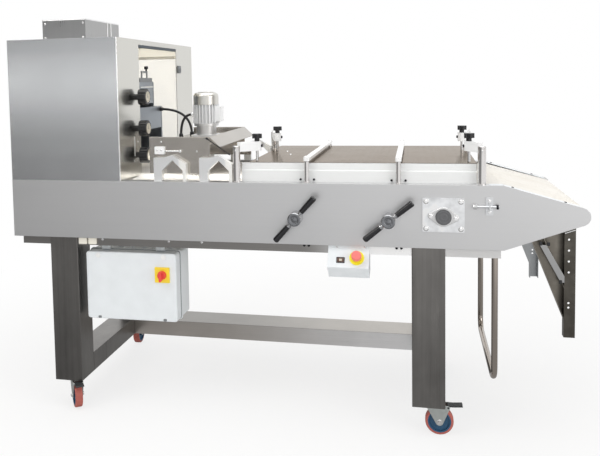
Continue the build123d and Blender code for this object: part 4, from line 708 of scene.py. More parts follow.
def two_tone(name, mask_of, first, second, drift=0.12):
    """Each finish is (colour, roughness, metal); the mask picks the second where it is 1."""
    material, here, place = begin(name)
    mask = mask_of(place)
    pores = noise(place, 500.0, 2.0)
    cloud = noise(place, 18.0, 3.0)
    colour = tint(mask, shaded(first[0], 1 + cloud * drift), shaded(second[0], 1 + cloud * drift))
    rough = (1 - mask) * first[1] + mask * second[1] + cloud * 0.08
    metal = first[2] if first[2] == second[2] else (1 - mask) * first[2] + mask * second[2]
    return complete(material, here, colour, rough, metal, pores, 0.00003, 0.0008)


BRIGHT = ((0.72, 0.72, 0.725), 0.16, 1.0)
HUB = ((0.46, 0.465, 0.48), 0.18, 1.0)
BLACK = ((0.014, 0.014, 0.016), 0.22, 0.0)
GRIP = ((0.011, 0.011, 0.013), 0.11, 0.0)
RED_TREAD = ((0.46, 0.12, 0.095), 0.55, 0.0)
BLUE_CORE = ((0.02, 0.085, 0.17), 0.42, 0.0)
ZINC = ((0.86, 0.87, 0.885), 0.38, 1.0)
BOX_GREY = ((0.77, 0.805, 0.83), 0.48, 0.0)
YELLOW = ((0.94, 0.72, 0.045), 0.36, 0.0)
LEMON = ((0.94, 0.88, 0.03), 0.36, 0.0)
CAP = ((0.085, 0.087, 0.092), 0.36, 0.1)
print("two-tone finishes ready")

# %% [markdown]
# ## Giving the nodes their finishes
# A node keeps its shape and takes a finish in its material slot. Most are one line in a table. The two-tone
# ones follow, each with the axis that its mask is measured from.

# %% One finish each
CORNERS = ("front_left", "front_right", "rear_left", "rear_right")


def dress(node, material):
    mesh = nodes[node].data
    mesh.materials.clear()
    mesh.materials.append(material)


PLAIN = {
    panel_steel: ["side_panel_front", "side_panel_rear"],
    belt_cloth: ["conveyor_belt"],
    roller_steel: ["slider_bed", "tail_roller", "nose_roller", "tension_roller", "drive_drum",
                   "upper_fixed_roller", "upper_moving_roller", "lower_fixed_roller", "lower_moving_roller"],
    zinc: ["belt_tensioners"],
    head_steel: ["head_cabinet"],
    hopper_steel: ["hopper"],
    block_iron: ["roller_side_plates", "upper_bearing_blocks", "lower_bearing_blocks"],
    hood_steel: ["hood"],
    arch_alloy: ["arch_brackets"],
    gear_alloy: ["gearbox"],
    motor_paint: ["motor_housing"],
    cover_paint: ["motor_fan_cover"],
    post_chrome: ["board_posts", "curling_net"],
    bar_steel: ["cross_bars"],
    guide_plastic: ["side_guides"],
    clamp_plastic: ["screw_clamps"],
    board_steel: ["pressure_board"],
    stand_steel: ["stand"],
    rail_steel: ["bed_rails"],
    bracket_steel: ["outfeed_brackets"],
    box_moulding: ["electrical_box"],
    red_plastic: ["main_switch_knob"],
    stop_plastic: ["stop_button"],
    rocker_plastic: ["start_rocker"],
    pedal_plastic: ["brake_pedal_front_left", "brake_pedal_front_right"],
    fork_zinc: [f"castor_fork_{corner}" for corner in CORNERS],
    cable_rubber: ["head_cables"],
}
for material, names in PLAIN.items():
    for node in names:
        dress(node, material)
for lead in leads:
    lead.data.materials.append(cable_rubber)
print(sum(map(len, PLAIN.values())), "nodes dressed plainly")

# %% [markdown]
# The pane in the head's rear wall is one solid with the dark roller guards, though it is a frosted cream
# sheet: daylight from behind shows through it, so it is half clear.

# %% Guards and pane
PANE_FRONT = (1000, 1001)


def guard_finish():
    material, here, place = begin("guard_iron")
    pane = step(place, "Y", *PANE_FRONT)
    frost = noise(place, 420.0, 3.0, 0.6)
    cloud = noise(place, 9.0, 3.0)
    iron = shaded((0.31, 0.335, 0.365), 1 + cloud * 0.2)
    colour = tint(pane, iron, shaded((0.88, 0.84, 0.74), 1 + frost * 0.06))
    return complete(material, here, colour, 0.42 + frost * 0.1, 1 - pane, frost, 0.00004, 0.0008,
                    Alpha=1 - pane * 0.72)


dress("roller_guards", guard_finish())
print("roller guards dressed")

# %% [markdown]
# A lever's grips start a little outside its hub, a castor's core ends where the tread begins, and a star
# knob's screw lies under its clamp. Those three distances, and the handwheels' shanks, are the masks here.

# %% Grips, cores and screws
LEVERS, LEVER_HEIGHT, LEVER_OUT = {"left": (1249, 48.0), "right": (1611, 39.0)}, 875, -49.5
GRIP_START, GRIP_RADIUS = (0.0385, 0.0392), (0.0135, 0.0140)
CASTOR_TURNS = {"front_left": -55.0, "front_right": 0.0, "rear_left": 93.0, "rear_right": 24.0}
CORE_RADIUS = (0.0450, 0.0456)
KNOB_OVER_CLAMP, KNOB_SOFT = 0.0313, 0.0004


def middle(node):
    low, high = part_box(node)
    return (low + high) / 2


def axle_line(corner):
    """The middle of a castor's wheel, and the direction of its axle."""
    turn = radians(CASTOR_TURNS[corner])
    return middle(f"castor_wheel_{corner}"), Vector((-sin(turn), cos(turn), 0))


def grips(place, x, angle):
    run = (cos(radians(angle)), 0, sin(radians(angle)))
    away, along = from_axis(place, spot(x, LEVER_OUT, LEVER_HEIGHT), run)
    return between(along.maths("ABSOLUTE", along), *GRIP_START) * between(away, *GRIP_RADIUS, 1, 0)


def core(place, corner):
    return between(from_axis(place, *axle_line(corner))[0], *CORE_RADIUS, 1, 0)


def screw(place, corner):
    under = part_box(f"height_knob_{corner}")[1].z - KNOB_OVER_CLAMP
    return between(place.split()[2], under - KNOB_SOFT, under, 1, 0)


def shank(place):
    return step(place, "X", HEAD_FACE - 0.5, HEAD_FACE + 0.2, 1, 0)


print("masks for", len(LEVERS), "levers and", len(CASTOR_TURNS), "castors")

# %% Two finishes each
for side, lever in LEVERS.items():
    dress(f"cam_lever_{side}", two_tone(f"lever_{side}", lambda place: grips(place, *lever), HUB, GRIP))
for corner in CORNERS:
    wheel_finish = two_tone(f"castor_{corner}", lambda place: core(place, corner), RED_TREAD, BLUE_CORE)
    dress(f"castor_wheel_{corner}", wheel_finish)
    knob_finish = two_tone(f"knob_{corner}", lambda place: screw(place, corner), BLACK, BRIGHT)
    dress(f"height_knob_{corner}", knob_finish)
WHEELS = {"upper": 1359, "lower": 1220, "third": 1102}
wheel_black = two_tone("wheel_black", shank, BLACK, BRIGHT)
for wheel in WHEELS:
    dress(f"{wheel}_handwheel", wheel_black)
print("levers, castors, knobs and wheels dressed")

# %% [markdown]
# Three more pairs are told apart by how far they stand out: the black cap from the zinc bearing plate, the
# yellow plate from the box lid under the main switch, and the yellow collar from the control box.

# %% Caps, plate and collar
CAP_START = (0.4462, 0.4466)
LID_FACE = 30
STOP_PLACE, FACE_OUT = spot(1487.5, -14, 720.5), Vector((0, -0.843, 0.538)).normalized()
COLLAR_LIFT, COLLAR_RADIUS = (0.0004, 0.0009), (0.0292, 0.0296)


def cap(place):
    out = place.split()[1] - spot(0, BED_MIDDLE, 0).y
    return between(out.maths("ABSOLUTE", out), *CAP_START)


def switch_plate(place):
    return step(place, "Y", LID_FACE - 0.6, LID_FACE - 0.2, 1, 0)


def collar(place):
    away, along = from_axis(place, STOP_PLACE, FACE_OUT)
    return between(along, *COLLAR_LIFT) * between(away, *COLLAR_RADIUS, 1, 0)


dress("drum_bearing_plates", two_tone("bearing_zinc", cap, ZINC, CAP, drift=1.3))
dress("electrical_box_lid", two_tone("lid_grey", switch_plate, BOX_GREY, YELLOW))
dress("control_box", two_tone("control_grey", collar, BOX_GREY, LEMON))
print("caps, switch plate and collar dressed")

# %% [markdown]
# ## Small parts
# Screws, caps, dials and trim are what make a machine believable. Each is turned or cut in code, like in a
# workshop: turned() spins a profile round an axis, plate() gives an outline a thickness with eased edges.
# Both draw rings of points and let skin() stretch faces between them.

# %% Shaping tools
FRONT, BACK, RIGHT, LEFT, UP = ((0, -1, 0), (0, 1, 0), (1, 0, 0), (-1, 0, 0), (0, 0, 1))


def axes(out):
    """Two directions across an axis, to draw on the face that it leaves."""
    out = Vector(out).normalized()
    side = Vector(UP).cross(out)
    side = side.normalized() if side.length > 0.01 else Vector(RIGHT)
    return side, out.cross(side), out


def circle(steps):
    """The angles of points spaced evenly round a circle."""
    return [2 * pi * i / steps for i in range(steps)]


def skin(bm, rings, loop=False):
    """Faces from ring to ring. A loop joins the last ring to the first; otherwise both ends are closed.
    A ring of one point is a tip."""
    made = [[bm.verts.new(point) for point in ring] for ring in rings]
    for low, high in zip(made, made[1:] + made[:1] if loop else made[1:]):
        for i in range(max(len(low), len(high))):
            j = i + 1
            corners = (low[i % len(low)], low[j % len(low)], high[j % len(high)], high[i % len(high)])
            bm.faces.new(list(dict.fromkeys(corners)))
    for end in () if loop else (made[0], made[-1]):
        if len(end) > 2:
            bm.faces.new(end)


print("axes on the front face:", axes(FRONT))

# %% Turning
def turned(bm, place, out, profile, steps=20):
    """A profile of (radius, height) in millimetres, spun round an axis that leaves the place."""
    side, rise, out = axes(out)
    rings = []
    for radius, height in profile:
        centre = spot(*place) + out * height * MM
        rings.append([centre + (side * cos(turn) + rise * sin(turn)) * radius * MM
                      for turn in circle(steps if radius else 1)])
    skin(bm, rings)


def rod(bm, start, end, radius, steps=14):
    """A round bar between two places, with its ends chamfered."""
    run = Vector(end) - Vector(start)
    chamfer = radius * 0.25
    turned(bm, start, run, [(radius - chamfer, 0), (radius, chamfer), (radius, run.length - chamfer),
                            (radius - chamfer, run.length)], steps)


print("turning tools ready")

# %% [markdown]
# A plate's outer edge is eased, because a sharp edge catches no light. The outline has to be drawn in
# evenly for that, so each corner moves along the line that halves its angle.

# %% Plates
def drawn_in(outline, inset):
    """An outline, drawn anticlockwise, moved inwards along its corners."""
    moved = []
    for i, point in enumerate(outline):
        before, after = Vector(outline[i - 1]), Vector(outline[(i + 1) % len(outline)])
        first, second = (Vector(point) - before).normalized(), (after - Vector(point)).normalized()
        inward, next_inward = Vector((-first.y, first.x)), Vector((-second.y, second.x))
        moved.append(Vector(point) + (inward + next_inward) * inset / (1 + inward.dot(next_inward)))
    return moved


def plate(bm, place, out, outline, thickness, ease=0.6):
    """An outline in millimetres given a thickness, with its outer edge eased."""
    side, rise, out = axes(out)
    rings = []
    for height, inset in ((0, 0), (thickness - ease, 0), (thickness, ease)):
        base = spot(*place) + out * height * MM
        rings.append([base + (side * u + rise * v) * MM for u, v in drawn_in(outline, inset)])
    skin(bm, rings)


def rounded(width, height, radius, steps=4):
    """The outline of a rectangle with round corners."""
    points = []
    for turn, (sx, sy) in enumerate(((1, 1), (-1, 1), (-1, -1), (1, -1))):
        for i in range(steps + 1):
            angle = pi / 2 * (turn + i / steps)
            points.append((sx * (width / 2 - radius) + radius * cos(angle),
                           sy * (height / 2 - radius) + radius * sin(angle)))
    return points


print("plate tools ready")

# %% [markdown]
# A mesh becomes a piece of the machine when it has a finish and rides on a body. A group of like parts is
# one mesh. Most pieces below are drawn in a with block, which hands out an empty mesh and closes it.

# %% Closing a piece
SHARP = radians(35)


def piece(name, bm, finish, body="bed"):
    """Closes a mesh, gives it its finish and lets it ride on a body of the machine."""
    bmesh.ops.recalc_face_normals(bm, faces=bm.faces)
    mesh = bpy.data.meshes.new(name)
    bm.to_mesh(mesh)
    bm.free()
    for face in mesh.polygons:
        face.use_smooth = True
    mesh.set_sharp_from_angle(angle=SHARP)
    mesh.materials.append(finish)
    made = bpy.data.objects.new(name, mesh)
    bpy.context.collection.objects.link(made)
    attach(made, body)
    return made


@contextmanager
def shape(name, finish, slot, body="bed"):
    """An empty mesh to draw in, which becomes a piece at the end of the block."""
    bm = bmesh.new()
    yield bm
    piece(name, bm, finish, body)


# %% [markdown]
# Four kinds of fastener hold the machine together: hexagon bolts with washers where strength counts, dark
# socket screws in the white guides and clamps, pan heads in thin sheet, and flush heads in the cabinet's
# outer wall. All are turned profiles whose heights follow from the size of the head.

# %% Kinds of fastener
HEX_CORNER = 0.577


def hex_bolt(bm, place, out, across=13):
    washer, corner = across * 0.85, across * HEX_CORNER
    turned(bm, place, out, [(washer, 0), (washer, 1), (across * 0.8, 1.4), (0, 1.4)], 24)
    turned(bm, place, out, [(corner, 1), (corner, across * 0.42), (across * 0.49, across * 0.5),
                            (0, across * 0.5)], 6)


def socket_screw(bm, place, out, radius=4.5):
    turned(bm, place, out, [(radius, 0), (radius, radius * 0.85), (radius * 0.86, radius),
                            (radius * 0.5, radius), (radius * 0.48, radius * 0.4), (0, radius * 0.4)], 18)


def pan_screw(bm, place, out, radius=5.0):
    turned(bm, place, out, [(radius, 0), (radius, radius * 0.2), (radius * 0.8, radius * 0.45),
                            (radius * 0.42, radius * 0.56), (radius * 0.36, radius * 0.36),
                            (0, radius * 0.36)], 18)


def flush_screw(bm, place, out, radius=6.0):
    turned(bm, place, out, [(radius, 0), (radius, 0.2), (radius * 0.9, 0.5), (radius * 0.42, 0.5),
                            (radius * 0.36, 0.1), (0, 0.1)], 18)


def fasten(name, kind, places, finish, slot, body="bed", **size):
    """A group of like fasteners; each place is a point and the direction that its head faces."""
    with shape(name, finish, slot, body) as heads:
        for place, out in places:
            kind(heads, place, out, **size)


print("fasteners:", [kind.__name__ for kind in (hex_bolt, socket_screw, pan_screw, flush_screw)])

# %% [markdown]
# A fitter sets screws out in rows. So do the lists here: each gives the rows' places, and the way that the
# heads face. What stands on one side panel stands on the other too, which one small function takes care of.

# %% Setting the fasteners out
SIDES = ((0, FRONT), (2 * BED_MIDDLE, BACK))
CROSS_BARS, CORNER_POSTS = (1288, 1648), (1000, 1959)
RAIL_FACE, BEARING_PLATE, TENSIONER_PLATE = 16, 6, 5


def on_panels(spots, lift):
    """Places (x, z) lifted off the outside of both side panels, with the way that each faces."""
    return [((x, y + lift * out[1], z), out) for y, out in SIDES for x, z in spots]


bright = (bolt_steel, "bright_steel")
galvanised = (bolt_steel, "zinc_steel")
dark = (black_oxide, "dark_steel")
fasten("bearing_bolts", hex_bolt, on_panels([(x, z) for x in (1751.5, 1880.5) for z in (844, 949)],
                                            BEARING_PLATE), *galvanised)
fasten("tensioner_screws", hex_bolt, on_panels([(1984, z) for z in (912, 953)], TENSIONER_PLATE),
       *galvanised, across=8)
fasten("hopper_screws", pan_screw, [((x, 230, z), FRONT) for x in (61, 247) for z in (1633, 1697)], *bright)
fasten("head_side_screws", flush_screw, [((0, y, z), LEFT) for y in (40, 520, 1000) for z in (1036, 1590)],
       *bright, radius=6)
fasten("strip_screws", pan_screw, [((HEAD_FACE, y, z), RIGHT) for y, z in
                                   ((207, 1160), (165, 1079), (199, 1045))], *bright, radius=4)
fasten("guide_screws", socket_screw, [((x + shift, y, 1021), out) for y, out in ((46.5, FRONT), (833.5, BACK))
                                      for x in CROSS_BARS for shift in (-27, 27)], *dark)
fasten("post_screws", pan_screw, [((x, 14.8, 1139), FRONT) for x in CORNER_POSTS], *bright, radius=4)
fasten("rail_screws", pan_screw, [((x, RAIL_FACE, 757), FRONT) for x in (406, 704, 848)], *bright, radius=6)
fasten("rail_pins", socket_screw, [((x + shift, RAIL_FACE, 759), FRONT) for x in (1286, 1649)
                                   for shift in (-9, 9)], *dark, radius=5)
fasten("terminal_screws", pan_screw, [((833, y, z), RIGHT) for y in (418, 462) for z in (1243, 1300)],
       *bright, radius=3)
fasten("board_screws", pan_screw, [((x, y, 1088), UP) for x, y in ((1128, 507), (1167, 365))],
       *bright, "pressure_board", radius=6)
fasten("clamp_screws", socket_screw, [((x, y, 1152), out) for x, out in ((1089.6, RIGHT), (1898.4, LEFT))
                                      for y in (100, 560)], *dark, radius=6)

# %% [markdown]
# ### Drum bearings
# Each bearing sits in a two-bolt flange, tilted a little as the fitter left it. Its outline is the tight
# line round three circles, which a convex hull gives. The rubber cap on it has moulded rings. Beside it the
# tensioner's screw has a hexagon head at one end and a nut at the other.

# %% Bearing flanges and caps
DRUM = (1816, 890)
LUG_REACH, LUG_TILT, LUG_RADIUS, RACE_RADIUS = 46, radians(-5), 12, 37
FLANGE, CAP_FACE = 7, 20
TENSION_SCREW, SCREW_OUT = 932, 12
CAP_PROFILE = [(27.5, 0), (27.5, 1.0), (25, 1.8), (21, 1.8), (20, 0.8), (15, 0.8), (14, 1.8), (7, 1.8),
               (6, 0.9), (0, 0.9)]
lug = Vector((cos(LUG_TILT), sin(LUG_TILT))) * LUG_REACH
flange_points = [centre + Vector((cos(turn), sin(turn))) * radius
                 for centre, radius in ((Vector((0, 0)), RACE_RADIUS), (lug, LUG_RADIUS), (-lug, LUG_RADIUS))
                 for turn in circle(32)]
flange_outline = [flange_points[i] for i in convex_hull_2d(flange_points)]

with shape("bearing_flanges", gear_alloy, "zinc_steel") as flanges:
    for place, out in on_panels([DRUM], BEARING_PLATE):
        plate(flanges, place, out, flange_outline, FLANGE, 1.5)
with shape("bearing_cap_rings", cap_rubber, "black_plastic") as caps:
    for place, out in on_panels([DRUM], CAP_FACE):
        turned(caps, place, out, CAP_PROFILE, 36)
fasten("flange_bolts", hex_bolt, [((x + axes(out)[0].x * end * lug.x, y, z + end * lug.y), out)
                                  for (x, y, z), out in on_panels([DRUM], BEARING_PLATE + FLANGE)
                                  for end in (-1, 1)], *galvanised, across=11)
with shape("tensioner_nuts", *dark) as nuts:
    for place, out in on_panels([(2008, TENSION_SCREW)], SCREW_OUT):
        turned(nuts, place, RIGHT, [(8, 0), (9.2, 1), (9.2, 7), (8, 8)], 6)
with shape("tensioner_heads", *galvanised) as heads:
    for place, out in on_panels([(1937, TENSION_SCREW)], SCREW_OUT):
        turned(heads, place, LEFT, [(10, 0), (10.9, 1), (10.9, 10), (9.6, 12), (0, 12)], 6)
print("bearing flange of", len(flange_outline), "points")

# %% [markdown]
# ### Head and hopper
# The hopper is held by a pair of flat straps on its right side and has a rolled rim. Under the window's
# lintel a dark strip is painted shadow, for the shaded gap there. The window has a catch on the rear strip
# and a bright slide beside the wheels. Above the upper roller guard stands its lock: a hook with a black knob
# on a grey block.

# %% Straps, rim and seal
HOPPER_RIM = [(49, 231, 1713.2), (259, 231, 1713.2), (259, 611, 1713.2), (49, 611, 1713.2)]

with shape("head_trim", edge_steel, "satin_steel") as trim:
    for y in (470, 512):
        plate(trim, (260, y, 1665), RIGHT, rounded(8, 100, 1.5), 2.5)
    plate(trim, (HEAD_FACE, 171, 1142), RIGHT, rounded(5, 86, 1.5), 2)
    for start, end in zip(HOPPER_RIM, HOPPER_RIM[1:] + HOPPER_RIM[:1]):
        rod(trim, start, end, 2.6)
# Painted shadow: a dark strip under the window's lintel stands in for the shade in the gap.
with shape("lintel_shadow_strip", lintel_shadow_dark, "black_plastic") as shadow_strip:
    plate(shadow_strip, (497, 511, 1585), RIGHT, rounded(522, 13, 4), 8, 2)
with shape("window_catch", grey_plastic, "box_grey") as catch:
    plate(catch, (HEAD_FACE, 812, 1487), RIGHT, rounded(34, 40, 9, 6), 9, 2)
    turned(catch, (HEAD_FACE + 9, 812, 1487), RIGHT, [(10, 0), (10, 2), (8.5, 3), (0, 3)], 24)
with shape("guard_lock", grey_plastic, "dark_steel") as lock:
    plate(lock, (434, 500, 1435), RIGHT, rounded(164, 20, 3), 8, 1)
    for y in (452, 522):
        plate(lock, (435, y, 1457), RIGHT, rounded(12, 28, 2), 4)
    plate(lock, (435, 487, 1473), RIGHT, rounded(84, 10, 3), 4)
with shape("guard_lock_knob", black_plastic, "black_plastic") as knob:
    turned(knob, (437, 514, 1477), UP, [(4, 0), (4, 8), (9, 10), (10, 14), (10, 21), (8, 24), (0, 24)])
with shape("guard_grip", edge_steel, "bright_steel") as grip:
    rod(grip, (445, 412, 1400), (445, 576, 1400), 3)

# %% [markdown]
# ### Dials
# Each handwheel carries a small clock-like dial that shows the gap. The face is a shallow dish with a rim,
# and its marks are thin raised bars, every third one longer.

# %% Dials
WHEEL_Y, DIAL_BACK, DIAL_FRONT = 198, 557.1, 560.6
MARKS, MARK_END, MARK_HALF = 12, 20, 0.5
LONG_MARK, SHORT_MARK = 5.5, 3.0
DISH = [(17.6, 0), (17.6, 2.8), (24, 2.8), (24, 4.6), (22, 5.2), (21, 3.6), (0, 3.6)]
POINTER = [(-0.6, -5), (0.6, -5), (0.9, 13), (-0.9, 13)]

for wheel, z in WHEELS.items():
    with shape(f"dial_{wheel}", dial_face, "white_plastic", f"{wheel}_handwheel") as face:
        turned(face, (DIAL_BACK, WHEEL_Y, z), RIGHT, DISH, 36)
    with shape(f"dial_marks_{wheel}", black_plastic, "black_plastic", f"{wheel}_handwheel") as marks:
        place = (DIAL_FRONT, WHEEL_Y, z)
        for i, angle in enumerate(circle(MARKS)):
            start = MARK_END - (SHORT_MARK if i % 3 else LONG_MARK)
            bar = ((start, MARK_HALF), (start, -MARK_HALF), (MARK_END, -MARK_HALF), (MARK_END, MARK_HALF))
            outline = [(u * cos(angle) - v * sin(angle), u * sin(angle) + v * cos(angle)) for u, v in bar]
            plate(marks, place, RIGHT, outline, 0.5, 0.1)
        plate(marks, place, RIGHT, POINTER, 0.9, 0.2)
        turned(marks, place, RIGHT, [(2.2, 0), (2.2, 1.2), (0, 1.2)], 14)
print(len(WHEELS), "dials with", MARKS, "marks each")

# %% [markdown]
# ### Hood, posts and rail
# A white interlock block with its rod is screwed to the hood's front plate, and a thin stay leans from the
# plate to the second arch. The cross bars end in white bosses over their posts. Two cream blocks fill the
# gap between the rail and the bed beside the left leg.

# %% Hood and bed trim
HOOD_FACE, BLOCK = 50, 13
STAY_ENDS = ((870, 1186), (966, 1121))

with shape("interlock_block", white_plastic, "white_plastic") as block:
    plate(block, (665.5, HOOD_FACE, 1137), FRONT, rounded(43, 32, 4), BLOCK, 1.5)
fasten("interlock_screws", pan_screw, [((x, HOOD_FACE - lift, z), FRONT) for x, lift, z in (
    (656, BLOCK, 1137), (675, BLOCK, 1137), (670, 0, 1172), (825, 0, 1132))], *bright, radius=4)
with shape("hood_rods", *bright) as rods:
    rod(rods, (684, HOOD_FACE - 7, 1134), (756, HOOD_FACE - 7, 1134), 3)
    turned(rods, (756, HOOD_FACE, 1134), FRONT, [(6, 0), (6, 11), (4.5, 12.5), (0, 12.5)], 18)
with shape("hood_stay", *dark) as stay:
    rod(stay, *((x, HOOD_FACE - 4, z) for x, z in STAY_ENDS), 1.9)
    for x, z in ((870, 1186), (966, 1121.5)):
        turned(stay, (x, HOOD_FACE, z), FRONT, [(4, 0), (4, 6), (3, 7), (0, 7)], 16)
with shape("bar_bosses", white_plastic, "white_plastic") as bosses:
    for x in CROSS_BARS:
        for y in (30, 850):
            turned(bosses, (x, y, 1110), UP, [(11, 0), (11, 4), (9.5, 6), (5, 7.5), (0, 7.8)], 24)
with shape("rail_blocks", cream_plastic, "white_plastic") as blocks:
    for x in (318.5, 362.5):
        plate(blocks, (x, RAIL_FACE, 750), FRONT, rounded(37, 28, 3), 9, 1)

# %% [markdown]
# ### The tapered end
# Along the slope the panels have a folded edge that covers the gap to the belt. It shows nearly white, so
# it gets a white finish. Its slope is the tangent from the end of the level edge to the round nose, so it
# is worked out from the same circle. Below the nose, black clips and a thin stay sit on the front bracket.

# %% Sloping edges
SLOPE_START, NOSE, NOSE_RADIUS = Vector((2037, 1011)), Vector((2306, 899)), 34
EDGE_SHEET, EDGE_WIDTH, EDGE_MIDDLES, EDGE_SUNK = 3, 46, (27, 853), 0.4
to_nose = NOSE - SLOPE_START
heading = atan2(to_nose.y, to_nose.x) + asin(NOSE_RADIUS / to_nose.length)
slope_run = Vector((cos(heading), sin(heading)))
slope_rise = Vector((-slope_run.y, slope_run.x))
slope_up = (slope_rise.x, 0, slope_rise.y)
slope_length = (to_nose.length ** 2 - NOSE_RADIUS ** 2) ** 0.5


def on_slope(along, y, lift):
    point = SLOPE_START + slope_run * along + slope_rise * lift
    return (point.x, y, point.y)


with shape("slope_edges", strip_white, "bright_steel") as edges:
    for y in EDGE_MIDDLES:
        plate(edges, on_slope(slope_length / 2, y, -EDGE_SHEET - EDGE_SUNK), slope_up,
              rounded(EDGE_WIDTH, slope_length - 6, 4), EDGE_SHEET, 0.8)
    for y in EDGE_MIDDLES:
        plate(edges, (2010, y, SLOPE_START.y), UP, rounded(52, 34, 3), 1.5)
fasten("slope_screws", pan_screw, [(on_slope(along, y, -EDGE_SUNK), slope_up) for y in EDGE_MIDDLES
                                   for along in (34, 228)], *dark, radius=5)
with shape("bracket_clips", black_plastic, "black_plastic") as clips:
    for x, z in ((2167, 796), (2194, 795), (2237, 654)):
        plate(clips, (x, 4, z), FRONT, rounded(11, 14, 3), 5, 1)
with shape("bracket_fold", edge_steel, "dark_steel") as fold:
    rod(fold, (2251, 3, 836), (2288, 3, 850), 2)
with shape("tray_stay", hopper_steel, "satin_steel") as tray_stay:
    plate(tray_stay, (2213, 4, 720), FRONT, [(-26, 71), (-50, 71), (25, -69), (38, -69), (38, -45)], 3)
print("slope", round(slope_length), "mm long")

# %% [markdown]
# ### Levers, castors and the motor
# Turned caps close the levers' hubs. Every castor fork has an axle nut on each cheek. The motor's fan cover
# gets its ring of air slots, as thin raised ribs.

# %% Caps, nuts and grille
HUB_FACE, CHEEK = -62, 22
HUB_PROFILE = [(25, 0), (25, 0.3), (24.2, 0.6), (15, 0.6), (14.4, 0.2), (9, 0.2), (8.4, 0.6), (0, 0.6)]
COVER_TOP, RIB_HALF, RIB_HEIGHT = 1371.6, 1.4, 1.6


def on_cover(radius, angle, height):
    return (MOTOR_X + radius * cos(angle), BED_MIDDLE + radius * sin(angle), COVER_TOP + height)


for side, (x, angle) in LEVERS.items():
    with shape(f"lever_cap_{side}", hub_steel, "bright_steel", f"cam_lever_{side}") as hub:
        turned(hub, (x, HUB_FACE, LEVER_HEIGHT), FRONT, HUB_PROFILE, 32)
for corner in CASTOR_TURNS:
    axle, across = axle_line(corner)
    ends = [(in_mm(axle) + across * side * CHEEK, across * side) for side in (-1, 1)]
    fasten(f"axle_nuts_{corner}", hex_bolt, ends, *galvanised, f"castor_fork_{corner}")
with shape("fan_grille", cover_paint, "cover_paint") as grille:
    for radius in (14, 21, 28, 35):
        section = ((radius - RIB_HALF, 0), (radius + RIB_HALF, 0),
                   (radius + RIB_HALF, RIB_HEIGHT), (radius - RIB_HALF, RIB_HEIGHT))
        skin(grille, [[spot(*on_cover(r, turn, h)) for turn in circle(40)] for r, h in section], loop=True)
    for turn in circle(8):
        rod(grille, on_cover(8, turn, 1.0), on_cover(37, turn, 0.8), 1.1, 8)
    turned(grille, on_cover(0, 0, 0.2), UP, [(9, 0), (9, 1.4), (7.5, 2.2), (0, 2.2)], 24)

# %% [markdown]
# ### The box lid
# The lid of the electrical box is held by round quarter-turn buttons at its upper corners, and has two dark
# notches along its lower edge where a screwdriver lifts it. A grey gasket shows all round its seam.

# %% Lid buttons, notches and gasket
LID_SCREWS = (377, 674)
LID_MIDDLE = (524, 553)
GASKET_INNER, GASKET_OUTER = (406, 292), (410.6, 296.6)
GASKET_FRONT, GASKET_BACK = 83, 87.8
BUTTON = [(11, 0), (11, 1.4), (9.6, 2.2), (8.4, 1.0), (7, 1.0), (6.2, 2.0), (0, 2.2)]

with shape("lid_buttons", white_plastic, "box_grey") as buttons:
    for x in LID_SCREWS:
        turned(buttons, (x, LID_FACE, 685), FRONT, BUTTON, 28)
with shape("lid_notches", grey_plastic, "dark_steel") as notches:
    for x in LID_SCREWS:
        plate(notches, (x, LID_FACE, 414), FRONT, rounded(15, 11, 4), 1.2, 0.4)
with shape("lid_gasket", grey_plastic, "black_plastic") as gasket:
    skin(gasket, [[spot(LID_MIDDLE[0] + u, y, LID_MIDDLE[1] + v) for u, v in rounded(*size, 12)]
                  for size, y in ((GASKET_INNER, GASKET_FRONT), (GASKET_OUTER, GASKET_FRONT),
                                  (GASKET_OUTER, GASKET_BACK), (GASKET_INNER, GASKET_BACK))], loop=True)

# %% [markdown]
# ### Glands and the rocker's frame
# Where a lead enters sheet metal it passes a gland: a hexagon with a domed nut. The start rocker snaps into
# a dark frame on the control box's slope, and has a pale pad to press. The frame lies at the level of the
# slope and the pad at the highest point of the rocker, so both are measured along the slope's own normal.

# %% Glands and frame
FRAME_SECTION = ((32.4, 23.4, 0), (32.4, 23.4, 1.4), (30.9, 21.9, 2.2), (28.6, 19.6, 2.2), (28.6, 19.6, 0))
PAD_SUNK = 0.6
guard_route, motor_route = (route for length, route in LEADS.values())

with shape("lead_glands", black_plastic, "black_plastic") as glands:
    for place, out in ((guard_route[-1], UP), (motor_route[-1], UP), (guard_route[0], RIGHT)):
        turned(glands, place, out, [(11, 0), (11, 5)], 6)
        turned(glands, place, out, [(10, 5), (10, 11), (8.2, 15), (6.3, 16.5)])

rocker_middle = middle("start_rocker")
rocker_high = max(vertex.co.dot(FACE_OUT) for vertex in nodes["start_rocker"].data.vertices)


def over_rocker(level):
    """The place over the rocker's middle at a level along the slope's normal."""
    return in_mm(rocker_middle + FACE_OUT * (level - rocker_middle.dot(FACE_OUT)))


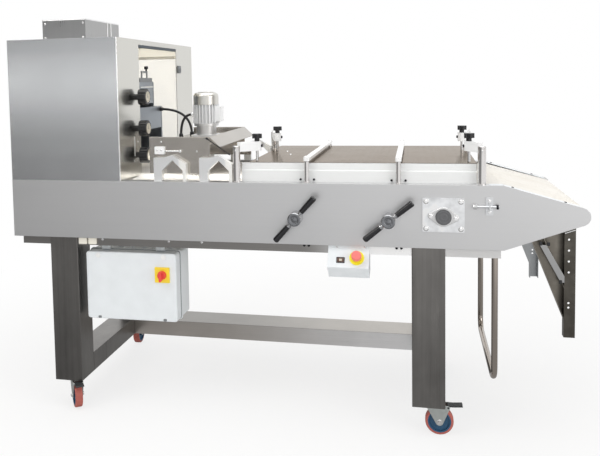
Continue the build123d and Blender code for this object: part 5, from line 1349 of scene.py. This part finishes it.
side, rise, out = axes(FACE_OUT)
on_face = over_rocker(STOP_PLACE.dot(FACE_OUT))
with shape("rocker_frame", black_plastic, "black_plastic") as rocker_frame:
    skin(rocker_frame, [[spot(*on_face) + (out * lift + side * u + rise * v) * MM
                         for u, v in rounded(width, height, 1.2, 3)]
                        for width, height, lift in FRAME_SECTION], loop=True)
with shape("rocker_pad", dial_face, "white_plastic", "start_rocker") as pad:
    plate(pad, over_rocker(rocker_high) - out * PAD_SUNK, FACE_OUT, rounded(11, 9, 2), 1.0, 0.3)
fasten("control_screws", pan_screw, [((x, 8, 760), FRONT) for x in (1409, 1519)], *bright, radius=4)
print("rocker frame at", [round(value) for value in on_face])

# %% [markdown]
# ### The curling net
# Under the hood a steel net trails on the belt and rolls the dough up. The CAD model has it as a pierced
# sheet. Here it is chain: rows of wire rings, each tilted against the next as linked rings are, hung from
# a bar. A ring is one circle swept round another, and one loop sets them all out down the slope.

# %% Net of rings
RING_PITCH, RING_RADIUS, WIRE = 15.0, 8.6, 0.9
RING_STEPS, WIRE_STEPS, RING_TILT = 10, 5, radians(24)
BAR_RADIUS, HALF_NET, NET_END = 7.0, 280, 1
FIRST_RING, RING_LIFT = 0.7, 1.5
across = Vector(BACK)
net_low, net_high = (in_mm(corner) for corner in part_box("curling_net"))
bar_place = Vector((net_low.x + BAR_RADIUS, 0, net_high.z - BAR_RADIUS))
net_run = Vector((net_high.x - bar_place.x, 0, net_low.z + NET_END - bar_place.z))
down = net_run.normalized()
net_up = Vector((-down.z, 0, down.x))
rows, columns = int(net_run.length / RING_PITCH), int(2 * HALF_NET / RING_PITCH)

net = bmesh.new()
rod(net, (bar_place.x, net_low.y, bar_place.z), (bar_place.x, net_high.y, bar_place.z), BAR_RADIUS, 20)
for row in range(rows):
    for column in range(columns):
        lean = RING_TILT if (row + column) % 2 else -RING_TILT
        centre = bar_place + down * (row + FIRST_RING) * RING_PITCH + net_up * RING_LIFT
        centre.y = BED_MIDDLE + (column + 0.5 - columns / 2) * RING_PITCH
        first = across * cos(lean) + net_up * sin(lean)
        normal = net_up * cos(lean) - across * sin(lean)
        loops = []
        for angle in circle(RING_STEPS):
            spoke = first * cos(angle) + down * sin(angle)
            wire_middle = centre + spoke * RING_RADIUS
            loops.append([spot(*(wire_middle + (spoke * cos(turn) + normal * sin(turn)) * WIRE))
                          for turn in circle(WIRE_STEPS)])
        skin(net, loops, loop=True)
net_piece = piece("ring_net", net, post_chrome)
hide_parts("curling_net")
print(rows * columns, "rings in the net")

# %% [markdown]
